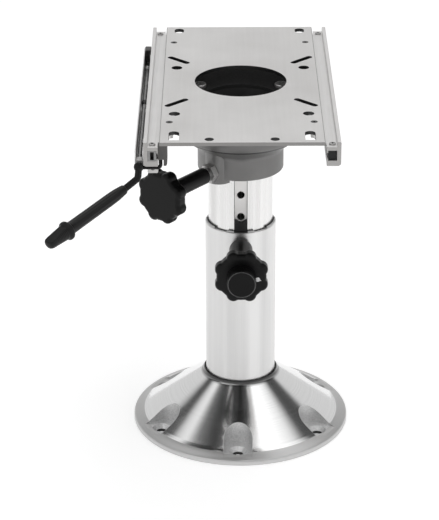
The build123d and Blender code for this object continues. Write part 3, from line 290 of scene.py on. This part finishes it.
def millAluminium(name, look):
    # rolled sheet and extrusion: faint long lines down the metal and a cloudy tone
    mat, tree, shader = newMaterial(name, look["colour"], 1.0, look["roughness"])
    lines = noise(tree, objectCoords(tree, look["stretch"]), look["lineScale"], **millPattern["lines"])
    clouds = noise(tree, objectCoords(tree), look["cloudScale"], **millPattern["clouds"])
    mix = tree.nodes.new("ShaderNodeMix")
    mix.inputs["Factor"].default_value = look["cloudShare"]
    tree.links.new(lines, mix.inputs["A"])
    tree.links.new(clouds, mix.inputs["B"])
    fac = mix.outputs["Result"]
    tones = (look["darker"], look["colour"], look["lighter"])
    tone = baseTone(tree, shader, fac, millPattern["stops"], tones)
    unevenGloss(tree, shader, fac, look["roughness"], millPattern["smoother"], millPattern["rougher"])
    bump(tree, shader, lines, look["depth"])
    if "cutAndShade" in look:
        # sheared edges and sawn ends are darker than the rolled faces; on the plate every face that doesn't
        # face up, the underside and the edges, is painted shade
        cutAndShade = look["cutAndShade"]
        facing = axesOf(tree, "Normal")[cutAndShade["axis"]]
        if cutAndShade["bothEnds"]:
            square = maths(tree, "ABSOLUTE", facing)
        else:
            square = maths(tree, "MULTIPLY", facing, -1)
        onCutAndShade = maths(tree, "GREATER_THAN", square, cutAndShade["limit"])
        tone = mixTone(tree, shader, onCutAndShade, tone, cutAndShade["colour"])
        if "edge" in cutAndShade:
            # painted shade: a shadow line is painted along the long edges beside the rails, and inside the
            # ends the walls of the punched holes and the underside are painted nearly black
            place = axesOf(tree, "Object")
            beside = maths(tree, "GREATER_THAN", maths(tree, "ABSOLUTE", place["X"]), cutAndShade["edge"]["half"])
            inside = maths(tree, "LESS_THAN", maths(tree, "ABSOLUTE", place["Y"]), cutAndShade["edge"]["ends"])
            tone = mixTone(tree, shader, beside, tone, cutAndShade["edge"]["colour"])
            mixTone(tree, shader, maths(tree, "MULTIPLY", inside, onCutAndShade), tone, cutAndShade["edge"]["holeShadeColour"])
    return mat


castPattern = {
    "pebbles": {"detail": 4, "roughness": 0.6}, "clouds": {"detail": 3, "roughness": 0.5},
    "stops": (0.3, 0.7), "smoother": 0.08, "rougher": 0.08}


def castMetal(name, look):
    # sand cast and painted or tumbled: a fine pebbled skin
    mat, tree, shader = newMaterial(name, look["colour"], look["metallic"], look["roughness"])
    shader.inputs["Specular IOR Level"].default_value = look["gloss"]
    pebbles = noise(tree, objectCoords(tree), look["grainScale"], **castPattern["pebbles"])
    clouds = noise(tree, objectCoords(tree), look["cloudScale"], **castPattern["clouds"])
    tone = baseTone(tree, shader, clouds, castPattern["stops"], (look["darker"], look["colour"]))
    unevenGloss(tree, shader, pebbles, look["roughness"], castPattern["smoother"], castPattern["rougher"])
    bump(tree, shader, pebbles, look["depth"])
    if "boreRadius" in look:
        # painted shade: the inside of the drum is painted unlit black, not metallic, dark as the plate above
        # it
        place = axesOf(tree, "Object")
        near = maths(tree, "LESS_THAN", hypotenuse(tree, place["X"], place["Y"]), look["boreRadius"])
        inside = maths(tree, "MULTIPLY", near, maths(tree, "GREATER_THAN", place["Z"], look["boreFloor"]))
        mixTone(tree, shader, inside, tone, look["boreShadeColour"])
        tree.links.new(spread(tree, inside, look["metallic"], 0.0, 0, 1), shader.inputs["Metallic"])
    if "greyFrom" in look:
        # the part of a black lever that stays inside its channel is bare steel
        bare = maths(tree, "GREATER_THAN", axesOf(tree, "Object")["Y"], look["greyFrom"])
        mixTone(tree, shader, bare, tone, look["bareColour"])
        tree.links.new(bare, shader.inputs["Metallic"])
    if "litBelow" in look:
        # painted light: the lower edge is painted bright, lit below the shade of the plate
        litFoot = maths(tree, "LESS_THAN", axesOf(tree, "Object")["Z"], look["litBelow"])
        mixTone(tree, shader, litFoot, tone, look["paintedLightColour"])
    return mat


plasticPattern = {
    "skin": {"detail": 3, "roughness": 0.6}, "clouds": {"detail": 2, "roughness": 0.5},
    "stops": (0.3, 0.7), "smoother": 0.05, "rougher": 0.07}


def mouldedPlastic(name, look):
    # moulded plastic: a fine spark-eroded skin and slightly uneven gloss
    mat, tree, shader = newMaterial(name, look["colour"], 0.0, look["roughness"])
    shader.inputs["Specular IOR Level"].default_value = look["gloss"]
    skin = noise(tree, objectCoords(tree), look["skinScale"], **plasticPattern["skin"])
    clouds = noise(tree, objectCoords(tree), look["cloudScale"], **plasticPattern["clouds"])
    tone = baseTone(tree, shader, clouds, plasticPattern["stops"], (look["colour"], look["lighter"]))
    unevenGloss(tree, shader, clouds, look["roughness"],
                plasticPattern["smoother"], plasticPattern["rougher"])
    bump(tree, shader, skin, look["depth"])
    if "paleTop" in look:
        # painted light: below its dark lips and outside them the bush is painted as a pale ring, flush with
        # the tube's rim, so that the gaps between the lips look bright
        place = axesOf(tree, "Object")
        distance = hypotenuse(tree, place["X"], place["Y"])
        offKey = maths(tree, "GREATER_THAN", maths(tree, "ABSOLUTE", place["X"]), look["keyHalf"])
        paintedPale = maths(tree, "MAXIMUM", maths(tree, "LESS_THAN", place["Z"], look["paleTop"]),
                      maths(tree, "GREATER_THAN", distance, look["paleFrom"]))
        mixTone(tree, shader, maths(tree, "MULTIPLY", offKey, paintedPale), tone, look["paintedLightColour"])
    if "deepFrom" in look:
        # inside its slot the plug is in shadow
        lengthways = maths(tree, "ABSOLUTE", axesOf(tree, "Object")["Y"])
        deep = maths(tree, "LESS_THAN", lengthways, look["deepFrom"])
        mixTone(tree, shader, deep, tone, look["deepColour"])
    return mat


platePattern = {
    "spots": {"detail": 4, "roughness": 0.6}, "stops": (0.3, 0.65), "smoother": 0.05, "rougher": 0.1}


def platedSteel(name, look):
    # zinc or nickel plate: nearly smooth with faint spots
    mat, tree, shader = newMaterial(name, look["colour"], 1.0, look["roughness"])
    spots = noise(tree, objectCoords(tree), look["spotScale"], **platePattern["spots"])
    tone = baseTone(tree, shader, spots, platePattern["stops"], (look["darker"], look["colour"]))
    unevenGloss(tree, shader, spots, look["roughness"], platePattern["smoother"], platePattern["rougher"])
    bump(tree, shader, spots, look["depth"])
    if "recess" in look:
        # the cross recess of each screw head is in shadow
        recess = look["recess"]
        place = axesOf(tree, "Object")
        across = maths(tree, "SUBTRACT", maths(tree, "ABSOLUTE", place["X"]), recess["x"])
        lengthways = maths(tree, "SUBTRACT", maths(tree, "ABSOLUTE", place["Y"]), recess["y"])
        near = maths(tree, "LESS_THAN", hypotenuse(tree, across, lengthways), recess["reach"])
        low = maths(tree, "LESS_THAN", place["Z"], recess["below"])
        mixTone(tree, shader, maths(tree, "MULTIPLY", near, low), tone, recess["colour"])
    return mat


polishedBase = castBase("polishedBase", {
    "colour": grey(0.74), "lighter": grey(0.84), "coneRough": 0.13, "vary": 0.03,
    "rimRough": 0.38, "rimColour": grey(0.58, 0.004), "rimStart": 0.1032, "underside": 0.0005,
    "lineScale": 900, "grainScale": 700, "grainShare": 0.2, "grainDepth": 6.0, "depth": 0.00002, "grain": 0.3,
    "pockets": 6, "pocketTurn": -92, "pocketSpot": 0.09, "pocketRadius": 0.0152, "pocketEnd": 0.1084,
    "pocketRough": 0.5, "pocketDark": grey(0.6), "pocketLight": grey(0.78),
    "neckGap": 0.0387, "neckRadius": 0.0424, "holeSpot": 0.095, "holeRadius": 0.0054,
    "paintedShadeColour": grey(0.05)})
outerSatin = drawnTube("outerSatin", {
    "colour": grey(0.7, 0.004), "darker": grey(0.64, 0.004), "lighter": grey(0.77, 0.004),
    "roughness": 0.36, "vary": 0.05,
    "streakScale": 30, "bandScale": 2.6, "streakShare": 0.22, "drift": 0.6, "depth": 0.00001})
innerSatin = drawnTube("innerSatin", {
    "colour": grey(0.76, 0.006), "darker": grey(0.66, 0.008), "lighter": grey(0.84, 0.006),
    "roughness": 0.26, "vary": 0.05,
    "streakScale": 26, "bandScale": 3.4, "streakShare": 0.3, "drift": 0.4, "depth": 0.00001,
    "grooveHalf": 0.0068, "grooveLine": 0.0006, "grooveRough": 0.62, "grooveColour": grey(0.88, 0.012),
    "grooveShadeColour": grey(0.2)})
plateSheet = millAluminium("plateSheet", {
    "colour": grey(0.7, 0.012), "darker": grey(0.64, 0.016), "lighter": grey(0.76, 0.01), "roughness": 0.42,
    "stretch": (1, 0.03, 1), "lineScale": 240, "cloudScale": 11, "cloudShare": 0.72, "depth": 0.00002,
    "cutAndShade": {"axis": "Z", "bothEnds": False, "limit": -0.8, "colour": grey(0.27, 0.02),
            "edge": {"half": 0.0774, "ends": 0.1705, "colour": grey(0.34, 0.02), "holeShadeColour": grey(0.06)}}})
railExtrusion = millAluminium("railExtrusion", {
    "colour": grey(0.76, 0.01), "darker": grey(0.68, 0.014), "lighter": grey(0.82, 0.008), "roughness": 0.36,
    "stretch": (1, 0.02, 1), "lineScale": 420, "cloudScale": 12, "cloudShare": 0.4, "depth": 0.00003,
    "cutAndShade": {"axis": "Y", "bothEnds": True, "limit": 0.7, "colour": grey(0.38, 0.02)}})
channelSteel = millAluminium("channelSteel", {
    "colour": grey(0.82, 0.004), "darker": grey(0.74, 0.004), "lighter": grey(0.88, 0.004), "roughness": 0.36,
    "stretch": (1, 0.02, 1), "lineScale": 420, "cloudScale": 14, "cloudShare": 0.4, "depth": 0.00003})
housingCasting = castMetal("housingCasting", {
    "colour": grey(0.22, 0.012), "darker": grey(0.185, 0.014), "metallic": 0.55, "roughness": 0.44,
    "gloss": 0.5, "grainScale": 900, "cloudScale": 25, "depth": 0.00012,
    "boreRadius": 0.0605, "boreFloor": 0.3226, "boreShadeColour": grey(0.015)})
# painted shade: the front stop, in the plate's shade, is painted dark, and its lit foot is painted light
shadedSteel = castMetal("shadedSteel", {
    "colour": grey(0.11, 0.02), "darker": grey(0.075, 0.02), "metallic": 0.8, "roughness": 0.42, "gloss": 0.5,
    "grainScale": 500, "cloudScale": 60, "depth": 0.00004,
    "litBelow": 0.3372, "paintedLightColour": grey(0.6, 0.01)})
leverSteel = castMetal("leverSteel", {
    "colour": grey(0.006), "darker": grey(0.003), "metallic": 0.0, "roughness": 0.3, "gloss": 0.2,
    "grainScale": 700, "cloudScale": 40, "depth": 0.00006, "greyFrom": -0.168, "bareColour": grey(0.34)})
blackSteel = castMetal("blackSteel", {
    "colour": grey(0.01), "darker": grey(0.005), "metallic": 0.0, "roughness": 0.3, "gloss": 0.25,
    "grainScale": 700, "cloudScale": 40, "depth": 0.00006})
blackPlate = castMetal("blackPlate", {
    "colour": grey(0.014), "darker": grey(0.008), "metallic": 0.0, "roughness": 0.55, "gloss": 0.3,
    "grainScale": 600, "cloudScale": 30, "depth": 0.00006})
brightSteel = platedSteel("brightSteel", {
    "colour": grey(0.72), "darker": grey(0.6), "roughness": 0.22, "spotScale": 300, "depth": 0.00002})
springSteel = platedSteel("springSteel", {
    "colour": grey(0.5), "darker": grey(0.4), "roughness": 0.3, "spotScale": 500, "depth": 0.00001})
zincSteel = platedSteel("zincSteel", {
    "colour": grey(0.55, 0.01), "darker": grey(0.45, 0.015), "roughness": 0.4, "spotScale": 200,
    "depth": 0.00004})
darkSteel = platedSteel("darkSteel", {
    "colour": grey(0.1, 0.01), "darker": grey(0.07, 0.015), "roughness": 0.38, "spotScale": 200,
    "depth": 0.00004})
screwSteel = platedSteel("screwSteel", {
    "colour": grey(0.5, 0.01), "darker": grey(0.42, 0.015), "roughness": 0.36, "spotScale": 200,
    "depth": 0.00003,
    "recess": {"x": 0.08485, "y": 0.163, "reach": 0.0026, "below": 0.3758, "colour": grey(0.02)}})
blackKnob = mouldedPlastic("blackKnob", {
    "colour": grey(0.003), "lighter": grey(0.005), "roughness": 0.32, "gloss": 0.17,
    "skinScale": 1400, "cloudScale": 30, "depth": 0.00004})
blackButton = mouldedPlastic("blackButton", {
    "colour": grey(0.003), "lighter": grey(0.005), "roughness": 0.3, "gloss": 0.14,
    "skinScale": 1600, "cloudScale": 40, "depth": 0.00003})
glossRim = mouldedPlastic("glossRim", {
    "colour": grey(0.01), "lighter": grey(0.014), "roughness": 0.14, "gloss": 0.9,
    "skinScale": 1600, "cloudScale": 40, "depth": 0.00001})
gripVinyl = mouldedPlastic("gripVinyl", {
    "colour": grey(0.004), "lighter": grey(0.007), "roughness": 0.38, "gloss": 0.24,
    "skinScale": 900, "cloudScale": 25, "depth": 0.00008})
bushNylon = mouldedPlastic("bushNylon", {
    "colour": grey(0.012), "lighter": grey(0.02), "roughness": 0.5, "gloss": 0.3,
    "skinScale": 1200, "cloudScale": 60, "depth": 0.00005,
    "paleTop": 0.2281, "paleFrom": 0.0347, "keyHalf": 0.0072, "paintedLightColour": grey(0.62)})
darkNylon = mouldedPlastic("darkNylon", {
    "colour": grey(0.012), "lighter": grey(0.02), "roughness": 0.5, "gloss": 0.3,
    "skinScale": 1200, "cloudScale": 60, "depth": 0.00005})
greyNylon = mouldedPlastic("greyNylon", {
    "colour": grey(0.27), "lighter": grey(0.33), "roughness": 0.5, "gloss": 0.4,
    "skinScale": 1000, "cloudScale": 50, "depth": 0.00005, "deepFrom": 0.1712, "deepColour": grey(0.02)})
whiteNylon = mouldedPlastic("whiteNylon", {
    "colour": grey(0.7, 0.01), "lighter": grey(0.76, 0.01), "roughness": 0.45, "gloss": 0.4,
    "skinScale": 900, "cloudScale": 40, "depth": 0.00004})
# painted highlight: the white of the drop beside the button
paintedHighlight = mouldedPlastic("paintedHighlight", {
    "colour": grey(0.86), "lighter": grey(0.9), "roughness": 0.4, "gloss": 0.4,
    "skinScale": 900, "cloudScale": 60, "depth": 0.00002})

finishes = {
    "base": polishedBase, "outer_tube": outerSatin, "inner_tube": innerSatin,
    "column_bushing": bushNylon, "knob_boss": brightSteel, "guide_collar": whiteNylon,
    "spindle_plug": zincSteel, "retaining_washer": zincSteel, "retaining_nut": brightSteel,
    "swivel_housing": housingCasting, "lower_swivel_bushing": whiteNylon, "upper_swivel_bushing": whiteNylon,
    "thrust_washer": whiteNylon, "swivel_lock_nut": zincSteel, "lower_plate": blackPlate,
    "lower_bolts": zincSteel, "latch_rack": zincSteel, "left_runner": darkNylon, "right_runner": darkNylon,
    "runner_screws": brightSteel, "top_plate": plateSheet, "left_rail": railExtrusion,
    "right_rail": railExtrusion, "plate_rivets": darkSteel, "end_plugs_left": greyNylon,
    "end_plugs_right": darkNylon, "plug_screws": zincSteel, "latch_channel": channelSteel,
    "channel_rivets": zincSteel, "front_clip": zincSteel, "rail_lug": zincSteel, "rear_clip": darkSteel,
    "front_stop": shadedSteel, "lever_rod": leverSteel, "latch_pawl": blackSteel, "lever_grip": gripVinyl,
    "lever_spring": springSteel, "height_knob": blackKnob, "height_stud": brightSteel, "pin_bush": whiteNylon,
    "pin_spring": springSteel, "lock_pin": brightSteel, "pin_button": blackButton,
    "swivel_knob": blackKnob, "swivel_stud": brightSteel, "swivel_pad": whiteNylon}

for nodeName, finish in finishes.items():
    node = nodes[nodeName]
    node.data.materials.clear()
    node.data.materials.append(finish)
print("finishes set:", len(finishes))

# pieces that are modelled here

mergeWithin = 0.000002  # corners nearer than this are one


def newPiece(name, mesh, finish, body, matrix=None, smooth=True):
    # the mesh is closed and turned outwards, moved to its place, and becomes a piece of the given body
    bmesh.ops.remove_doubles(mesh, verts=mesh.verts, dist=mergeWithin)
    bmesh.ops.recalc_face_normals(mesh, faces=mesh.faces)
    if matrix is not None:
        bmesh.ops.transform(mesh, matrix=matrix, verts=mesh.verts)
    data = bpy.data.meshes.new(name)
    mesh.to_mesh(data)
    mesh.free()
    for face in data.polygons:
        face.use_smooth = smooth
    piece = bpy.data.objects.new(name, data)
    scene.collection.objects.link(piece)
    piece.data.materials.append(finish)
    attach(piece, body)
    return piece


def subdivided(piece, levels):
    surface = piece.modifiers.new("surface", "SUBSURF")
    surface.levels = levels
    surface.render_levels = levels
    return piece


def spunProfile(points, steps, closed=False):
    # points are radius and height; the profile is spun about Z
    mesh = bmesh.new()
    corners = [mesh.verts.new((radius, 0, height)) for radius, height in points]
    edges = [mesh.edges.new(pair) for pair in zip(corners, corners[1:])]
    if closed:
        edges.append(mesh.edges.new((corners[-1], corners[0])))
    bmesh.ops.spin(mesh, geom=corners + edges, cent=(0, 0, 0), axis=(0, 0, 1), angle=2 * math.pi,
                   steps=steps, use_merge=True)
    return mesh


def extrudedCorners(grown):
    # the new corners in what an extrude gives back
    return [part for part in grown["geom"] if isinstance(part, bmesh.types.BMVert)]


def along(spot, direction):
    # a place whose Z runs in the given direction and whose X lies level
    run = Vector(direction).normalized()
    across = Vector((0, 0, 1)).cross(run).normalized()
    up = run.cross(across)
    return Matrix.Translation(spot) @ Matrix((across, up, run)).transposed().to_4x4()


# grip: vinyl sleeve with shallow flutes, a thin collar and a ribbed end that slopes flat on top;
# a rib's crest runs from ribRise to ribFall, as shares of the pitch
gripForm = {
    "start": (-0.11126, -0.1825, 0.33739), "run": (-0.6323, -0.7477, -0.2031), "steps": 48,
    "mouth": [(0.0034, 0.003), (0.0034, 0.0003), (0.0037, 0.0), (0.0044, 0.0), (0.0047, 0.0003)],
    "body": [(0.0049, 0.003), (0.0054, 0.0075), (0.0059, 0.013), (0.006, 0.03), (0.006, 0.05),
             (0.0061, 0.0755)],
    "collar": [(0.0063, 0.077), (0.0082, 0.0775), (0.0092, 0.0782), (0.0094, 0.079), (0.0094, 0.0804),
               (0.0091, 0.0812), (0.0079, 0.0818), (0.0074, 0.0826)],
    "ribs": 9, "ribFrom": 0.0838, "ribPitch": 0.0017, "ribRadius": 0.0073, "ribDepth": 0.0002,
    "ribTaper": 0.00013, "ribRise": 0.35, "ribFall": 0.7,
    "tip": [(0.0062, 0.1), (0.0059, 0.1024), (0.0052, 0.1043), (0.0038, 0.1054), (0.0018, 0.1059),
            (0.0, 0.106)],
    "flutes": 12, "fluteDepth": 0.0004, "fluteFrom": 0.012, "fluteTo": 0.072,
    "flatFrom": 0.082, "flatTo": 0.106, "flatStart": 0.0068, "flatEnd": 0.0024}


def vinylGrip(form):
    profile = form["mouth"] + form["body"] + form["collar"]
    for rib in range(form["ribs"]):
        foot = form["ribFrom"] + rib * form["ribPitch"]
        crest = form["ribRadius"] - rib * form["ribTaper"]
        profile += [(crest - form["ribDepth"], foot),
                    (crest, foot + form["ribPitch"] * form["ribRise"]),
                    (crest, foot + form["ribPitch"] * form["ribFall"])]
    mesh = spunProfile(profile + form["tip"], form["steps"])
    spacing = form["steps"] // form["flutes"]
    for corner in mesh.verts:
        height = corner.co.z
        step = round(math.atan2(corner.co.y, corner.co.x) / (2 * math.pi) * form["steps"])
        if form["fluteFrom"] < height < form["fluteTo"] and step % spacing == 0:
            corner.co.xy = corner.co.xy * (1 - form["fluteDepth"] / corner.co.xy.length)
        if height > form["flatFrom"]:
            share = (height - form["flatFrom"]) / (form["flatTo"] - form["flatFrom"])
            corner.co.y = min(corner.co.y, form["flatStart"] + (form["flatEnd"] - form["flatStart"]) * share)
    place = along(form["start"], form["run"])
    return newPiece("grip", mesh, gripVinyl, "lever", place)


# a slim gloss ring let into the button's face, by a share of its wire
rimForm = {"x": 0, "z": 0.211, "radius": 0.01345, "wire": 0.00045, "sunk": 0.3, "sides": 8, "steps": 64}


def buttonRim(form):
    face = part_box("pin_button")[0][1]
    profile = []
    for side in range(form["sides"]):
        turn = 2 * math.pi * side / form["sides"]
        profile.append((form["radius"] + form["wire"] * math.cos(turn), form["wire"] * math.sin(turn)))
    mesh = spunProfile(profile, form["steps"], closed=True)
    place = along((form["x"], face + form["wire"] * form["sunk"], form["z"]), (0, -1, 0))
    return newPiece("button_rim", mesh, glossRim, "height_pin", place)


# painted highlight: a white drop beside the button stands in for a glint of light on the knob's face; before
# is where the search for that face starts, and sunk is a share of the thickness
highlightForm = {
    "x": 0.0162, "z": 0.21, "before": -0.3, "radius": 0.0023, "tail": 0.0037, "tailTurn": -20,
    "thick": 0.0006, "sunk": 0.1, "steps": 24}


def knobHighlight(form):
    start = (form["x"], form["before"], form["z"])
    spot, facing = nodes["height_knob"].ray_cast(start, (0, 1, 0))[1:3]
    mesh = bmesh.new()
    disc = bmesh.ops.create_circle(mesh, cap_ends=True, segments=form["steps"], radius=form["radius"])
    far = max(disc["verts"], key=lambda corner: corner.co.x)
    far.co.x = form["tail"]
    raised = bmesh.ops.extrude_face_region(mesh, geom=mesh.faces[:])
    bmesh.ops.translate(mesh, verts=extrudedCorners(raised), vec=(0, 0, form["thick"]))
    turn = Matrix.Rotation(math.radians(form["tailTurn"]), 4, "Z")
    place = along(spot - facing * form["thick"] * form["sunk"], facing) @ turn
    return newPiece("knob_highlight", mesh, paintedHighlight, "height_knob", place, smooth=False)


def plungerSpring():
    mesh = bmesh.new()
    mesh.from_mesh(nodes["pin_spring"].data)
    piece = newPiece("plunger_spring", mesh, springSteel, "height_knob")
    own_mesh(piece)
    return piece


# pan head screws with a cross recess, one at each end of each rail; outerFrom, innerTo and crossTo tell
# the grid's border, its middle cell and the length of the cross, and they and slot are shares of the head
screwForm = {
    "x": 0.08485, "y": 0.163, "seat": 0.375, "foot": 0.3645, "head": 0.0032, "rise": 0.0012, "shank": 0.0018,
    "crown": 0.00035, "cells": 5, "recess": 0.0007, "slot": 0.36,
    "outerFrom": 0.99, "innerTo": 0.3, "crossTo": 0.75}


def crossScrew(name, spot, form):
    # a grid of faces is rounded to a disc, its middle row and column are sunk, and its border is drawn down
    mesh = bmesh.new()
    bmesh.ops.create_grid(mesh, x_segments=form["cells"], y_segments=form["cells"], size=form["head"])
    for corner in mesh.verts:
        reach = max(abs(corner.co.x), abs(corner.co.y))
        if reach > form["head"] * form["outerFrom"]:
            corner.co.xy = corner.co.xy.normalized() * form["head"]
        elif reach < form["head"] * form["innerTo"]:
            corner.co.xy *= form["slot"] * form["cells"] / 2
        corner.co.z = form["rise"] - form["crown"] * (corner.co.xy.length / form["head"]) ** 2
    cross = []
    for face in mesh.faces:
        middle = face.calc_center_median()
        inLine = min(abs(middle.x), abs(middle.y)) < form["head"] / form["cells"] / 2
        if inLine and middle.length < form["head"] * form["crossTo"]:
            cross.append(face)
    sunk = bmesh.ops.extrude_face_region(mesh, geom=cross)
    bmesh.ops.delete(mesh, geom=cross, context="FACES_ONLY")
    bmesh.ops.translate(mesh, verts=extrudedCorners(sunk), vec=(0, 0, -form["recess"]))
    # down to the seat, in to the shank, and straight down the shank
    for level, radius in ((0, form["head"]), (0, form["shank"]), (form["foot"] - form["seat"], None)):
        border = [edge for edge in mesh.edges if edge.is_boundary]
        grown = bmesh.ops.extrude_edge_only(mesh, edges=border)
        for corner in extrudedCorners(grown):
            corner.co.z = level
            if radius:
                corner.co.xy = corner.co.xy.normalized() * radius
    border = [edge for edge in mesh.edges if edge.is_boundary]
    bmesh.ops.holes_fill(mesh, edges=border, sides=0)
    place = Matrix.Translation(spot)
    return newPiece(name, mesh, screwSteel, "seat", place, smooth=False)


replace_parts(subdivided(vinylGrip(gripForm), 1), "lever_grip")
buttonRim(rimForm)
knobHighlight(highlightForm)
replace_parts(plungerSpring(), "pin_spring")
screws = []
for sideName, sideways in (("left", -1), ("right", 1)):
    for endName, endways in (("front", -1), ("rear", 1)):
        spot = (sideways * screwForm["x"], endways * screwForm["y"], screwForm["seat"])
        screws.append(crossScrew("plug_screw_" + sideName + "_" + endName, spot, screwForm))
for screw in screws:
    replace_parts(screw, "plug_screws")
print("pieces modelled: grip, rim, mark, spring and", len(screws), "screws")

# floor, world and lamps

studio = {
    "floorSize": 8.0, "floorGap": 0.0002, "floorTone": 0.8, "floorRough": 0.9, "floorWhite": 0.46,
    "keySpot": (-1.6, -1.6, 2.4), "keySize": 2.4, "keyPower": 14,
    "fillSpot": (1.9, -1.2, 1.4), "fillSize": 2.4, "fillPower": 7,
    "topSpot": (0.0, 1.3, 2.3), "topSize": 1.6, "topPower": 7,
    "aim": (0, 0, 0.2),
    # brightness of the studio's walls and boxes from the horizon up, left and right, as shares of the peak
    "peak": 1.4,
    "leftWalls": [(0.0, 0.54), (0.5, 0.54), (0.58, 0.35), (0.63, 0.06), (0.7, 0.05), (0.765, 0.6),
                  (0.82, 0.75), (0.875, 0.1), (0.93, 0.03), (1.0, 0.03)],
    "rightWalls": [(0.0, 0.54), (0.52, 0.54), (0.6, 0.06), (0.75, 0.05), (0.83, 0.7), (0.92, 1.0),
                   (0.985, 1.0), (1.0, 0.3)],
    "seam": 0.05}


def whiteStage(name):
    # pale matt ground that takes shadows; the camera and shiny metal see it a little brighter, up to white
    mat, tree, shader = newMaterial(name, grey(studio["floorTone"]), 0.0, studio["floorRough"])
    shader.inputs["Emission Color"].default_value = (1, 1, 1, 1)
    path = tree.nodes.new("ShaderNodeLightPath")
    mirrored = maths(tree, "MAXIMUM", path.outputs["Is Glossy Ray"], path.outputs["Is Transmission Ray"])
    seen = maths(tree, "MAXIMUM", path.outputs["Is Camera Ray"], mirrored)
    tree.links.new(maths(tree, "MULTIPLY", seen, studio["floorWhite"]), shader.inputs["Emission Strength"])
    return mat


def studioWorld(name):
    # a soft room: pale walls to shoulder height, darker above, with one long soft box high on each side
    world = bpy.data.worlds.new(name)
    world.use_nodes = True
    tree = world.node_tree
    room = tree.nodes["Background"]
    room.inputs["Strength"].default_value = studio["peak"]
    place = axesOf(tree, "Generated")
    walls = []
    for side in ("leftWalls", "rightWalls"):
        heights, tones = zip(*studio[side])
        walls.append(ramp(tree, place["Z"], heights, [grey(tone) for tone in tones]))
    onRight = spread(tree, place["X"], 0, 1, -studio["seam"], studio["seam"])
    tree.links.new(blend(tree, onRight, walls[0], walls[1]), room.inputs["Color"])
    # the camera itself sees plain white
    backdrop = tree.nodes.new("ShaderNodeBackground")
    backdrop.inputs["Color"].default_value = (1, 1, 1, 1)
    path = tree.nodes.new("ShaderNodeLightPath")
    both = tree.nodes.new("ShaderNodeMixShader")
    tree.links.new(path.outputs["Is Camera Ray"], both.inputs[0])
    tree.links.new(room.outputs["Background"], both.inputs[1])
    tree.links.new(backdrop.outputs["Background"], both.inputs[2])
    tree.links.new(both.outputs["Shader"], tree.nodes["World Output"].inputs["Surface"])
    return world


def addLamp(name, spot, size, power):
    light = bpy.data.lights.new(name, "AREA")
    light.shape = "SQUARE"
    light.size = size
    light.energy = power
    lamp = bpy.data.objects.new(name, light)
    scene.collection.objects.link(lamp)
    lamp.location = spot
    lamp.rotation_euler = (Vector(studio["aim"]) - Vector(spot)).to_track_quat("-Z", "Y").to_euler()


floorMesh = bmesh.new()
bmesh.ops.create_grid(floorMesh, x_segments=1, y_segments=1, size=studio["floorSize"] / 2)
bmesh.ops.translate(floorMesh, verts=floorMesh.verts, vec=(0, 0, -studio["floorGap"]))
floorData = bpy.data.meshes.new("floor")
floorMesh.to_mesh(floorData)
floorMesh.free()
floor = bpy.data.objects.new("floor", floorData)
scene.collection.objects.link(floor)
floor.data.materials.append(whiteStage("floorWhite"))
scene.world = studioWorld("studio")
for lampName in ("key", "fill", "top"):
    addLamp(lampName, studio[lampName + "Spot"], studio[lampName + "Size"], studio[lampName + "Power"])
print("studio set")

# the camera stands where the photograph was taken from

lensFit = {
    "spot": (-0.01941, -2.06222, 1.11712), "down": 0.425925, "turn": 0.00124, "roll": -0.0036,
    "lens": 149.85, "sensor": 36, "farthest": 50}
cameraData = bpy.data.cameras.new("camera")
cameraData.sensor_fit = "AUTO"
cameraData.sensor_width = lensFit["sensor"]
cameraData.lens = lensFit["lens"]
cameraData.clip_end = lensFit["farthest"]
camera = bpy.data.objects.new("camera", cameraData)
scene.collection.objects.link(camera)
camera.matrix_world = (
    Matrix.Translation(lensFit["spot"])
    @ Matrix.Rotation(lensFit["turn"], 4, "Z")
    @ Matrix.Rotation(math.pi / 2 - lensFit["down"], 4, "X")
    @ Matrix.Rotation(lensFit["roll"], 4, "Z"))
scene.camera = camera
scene.view_settings.view_transform = "Standard"
print("camera set")
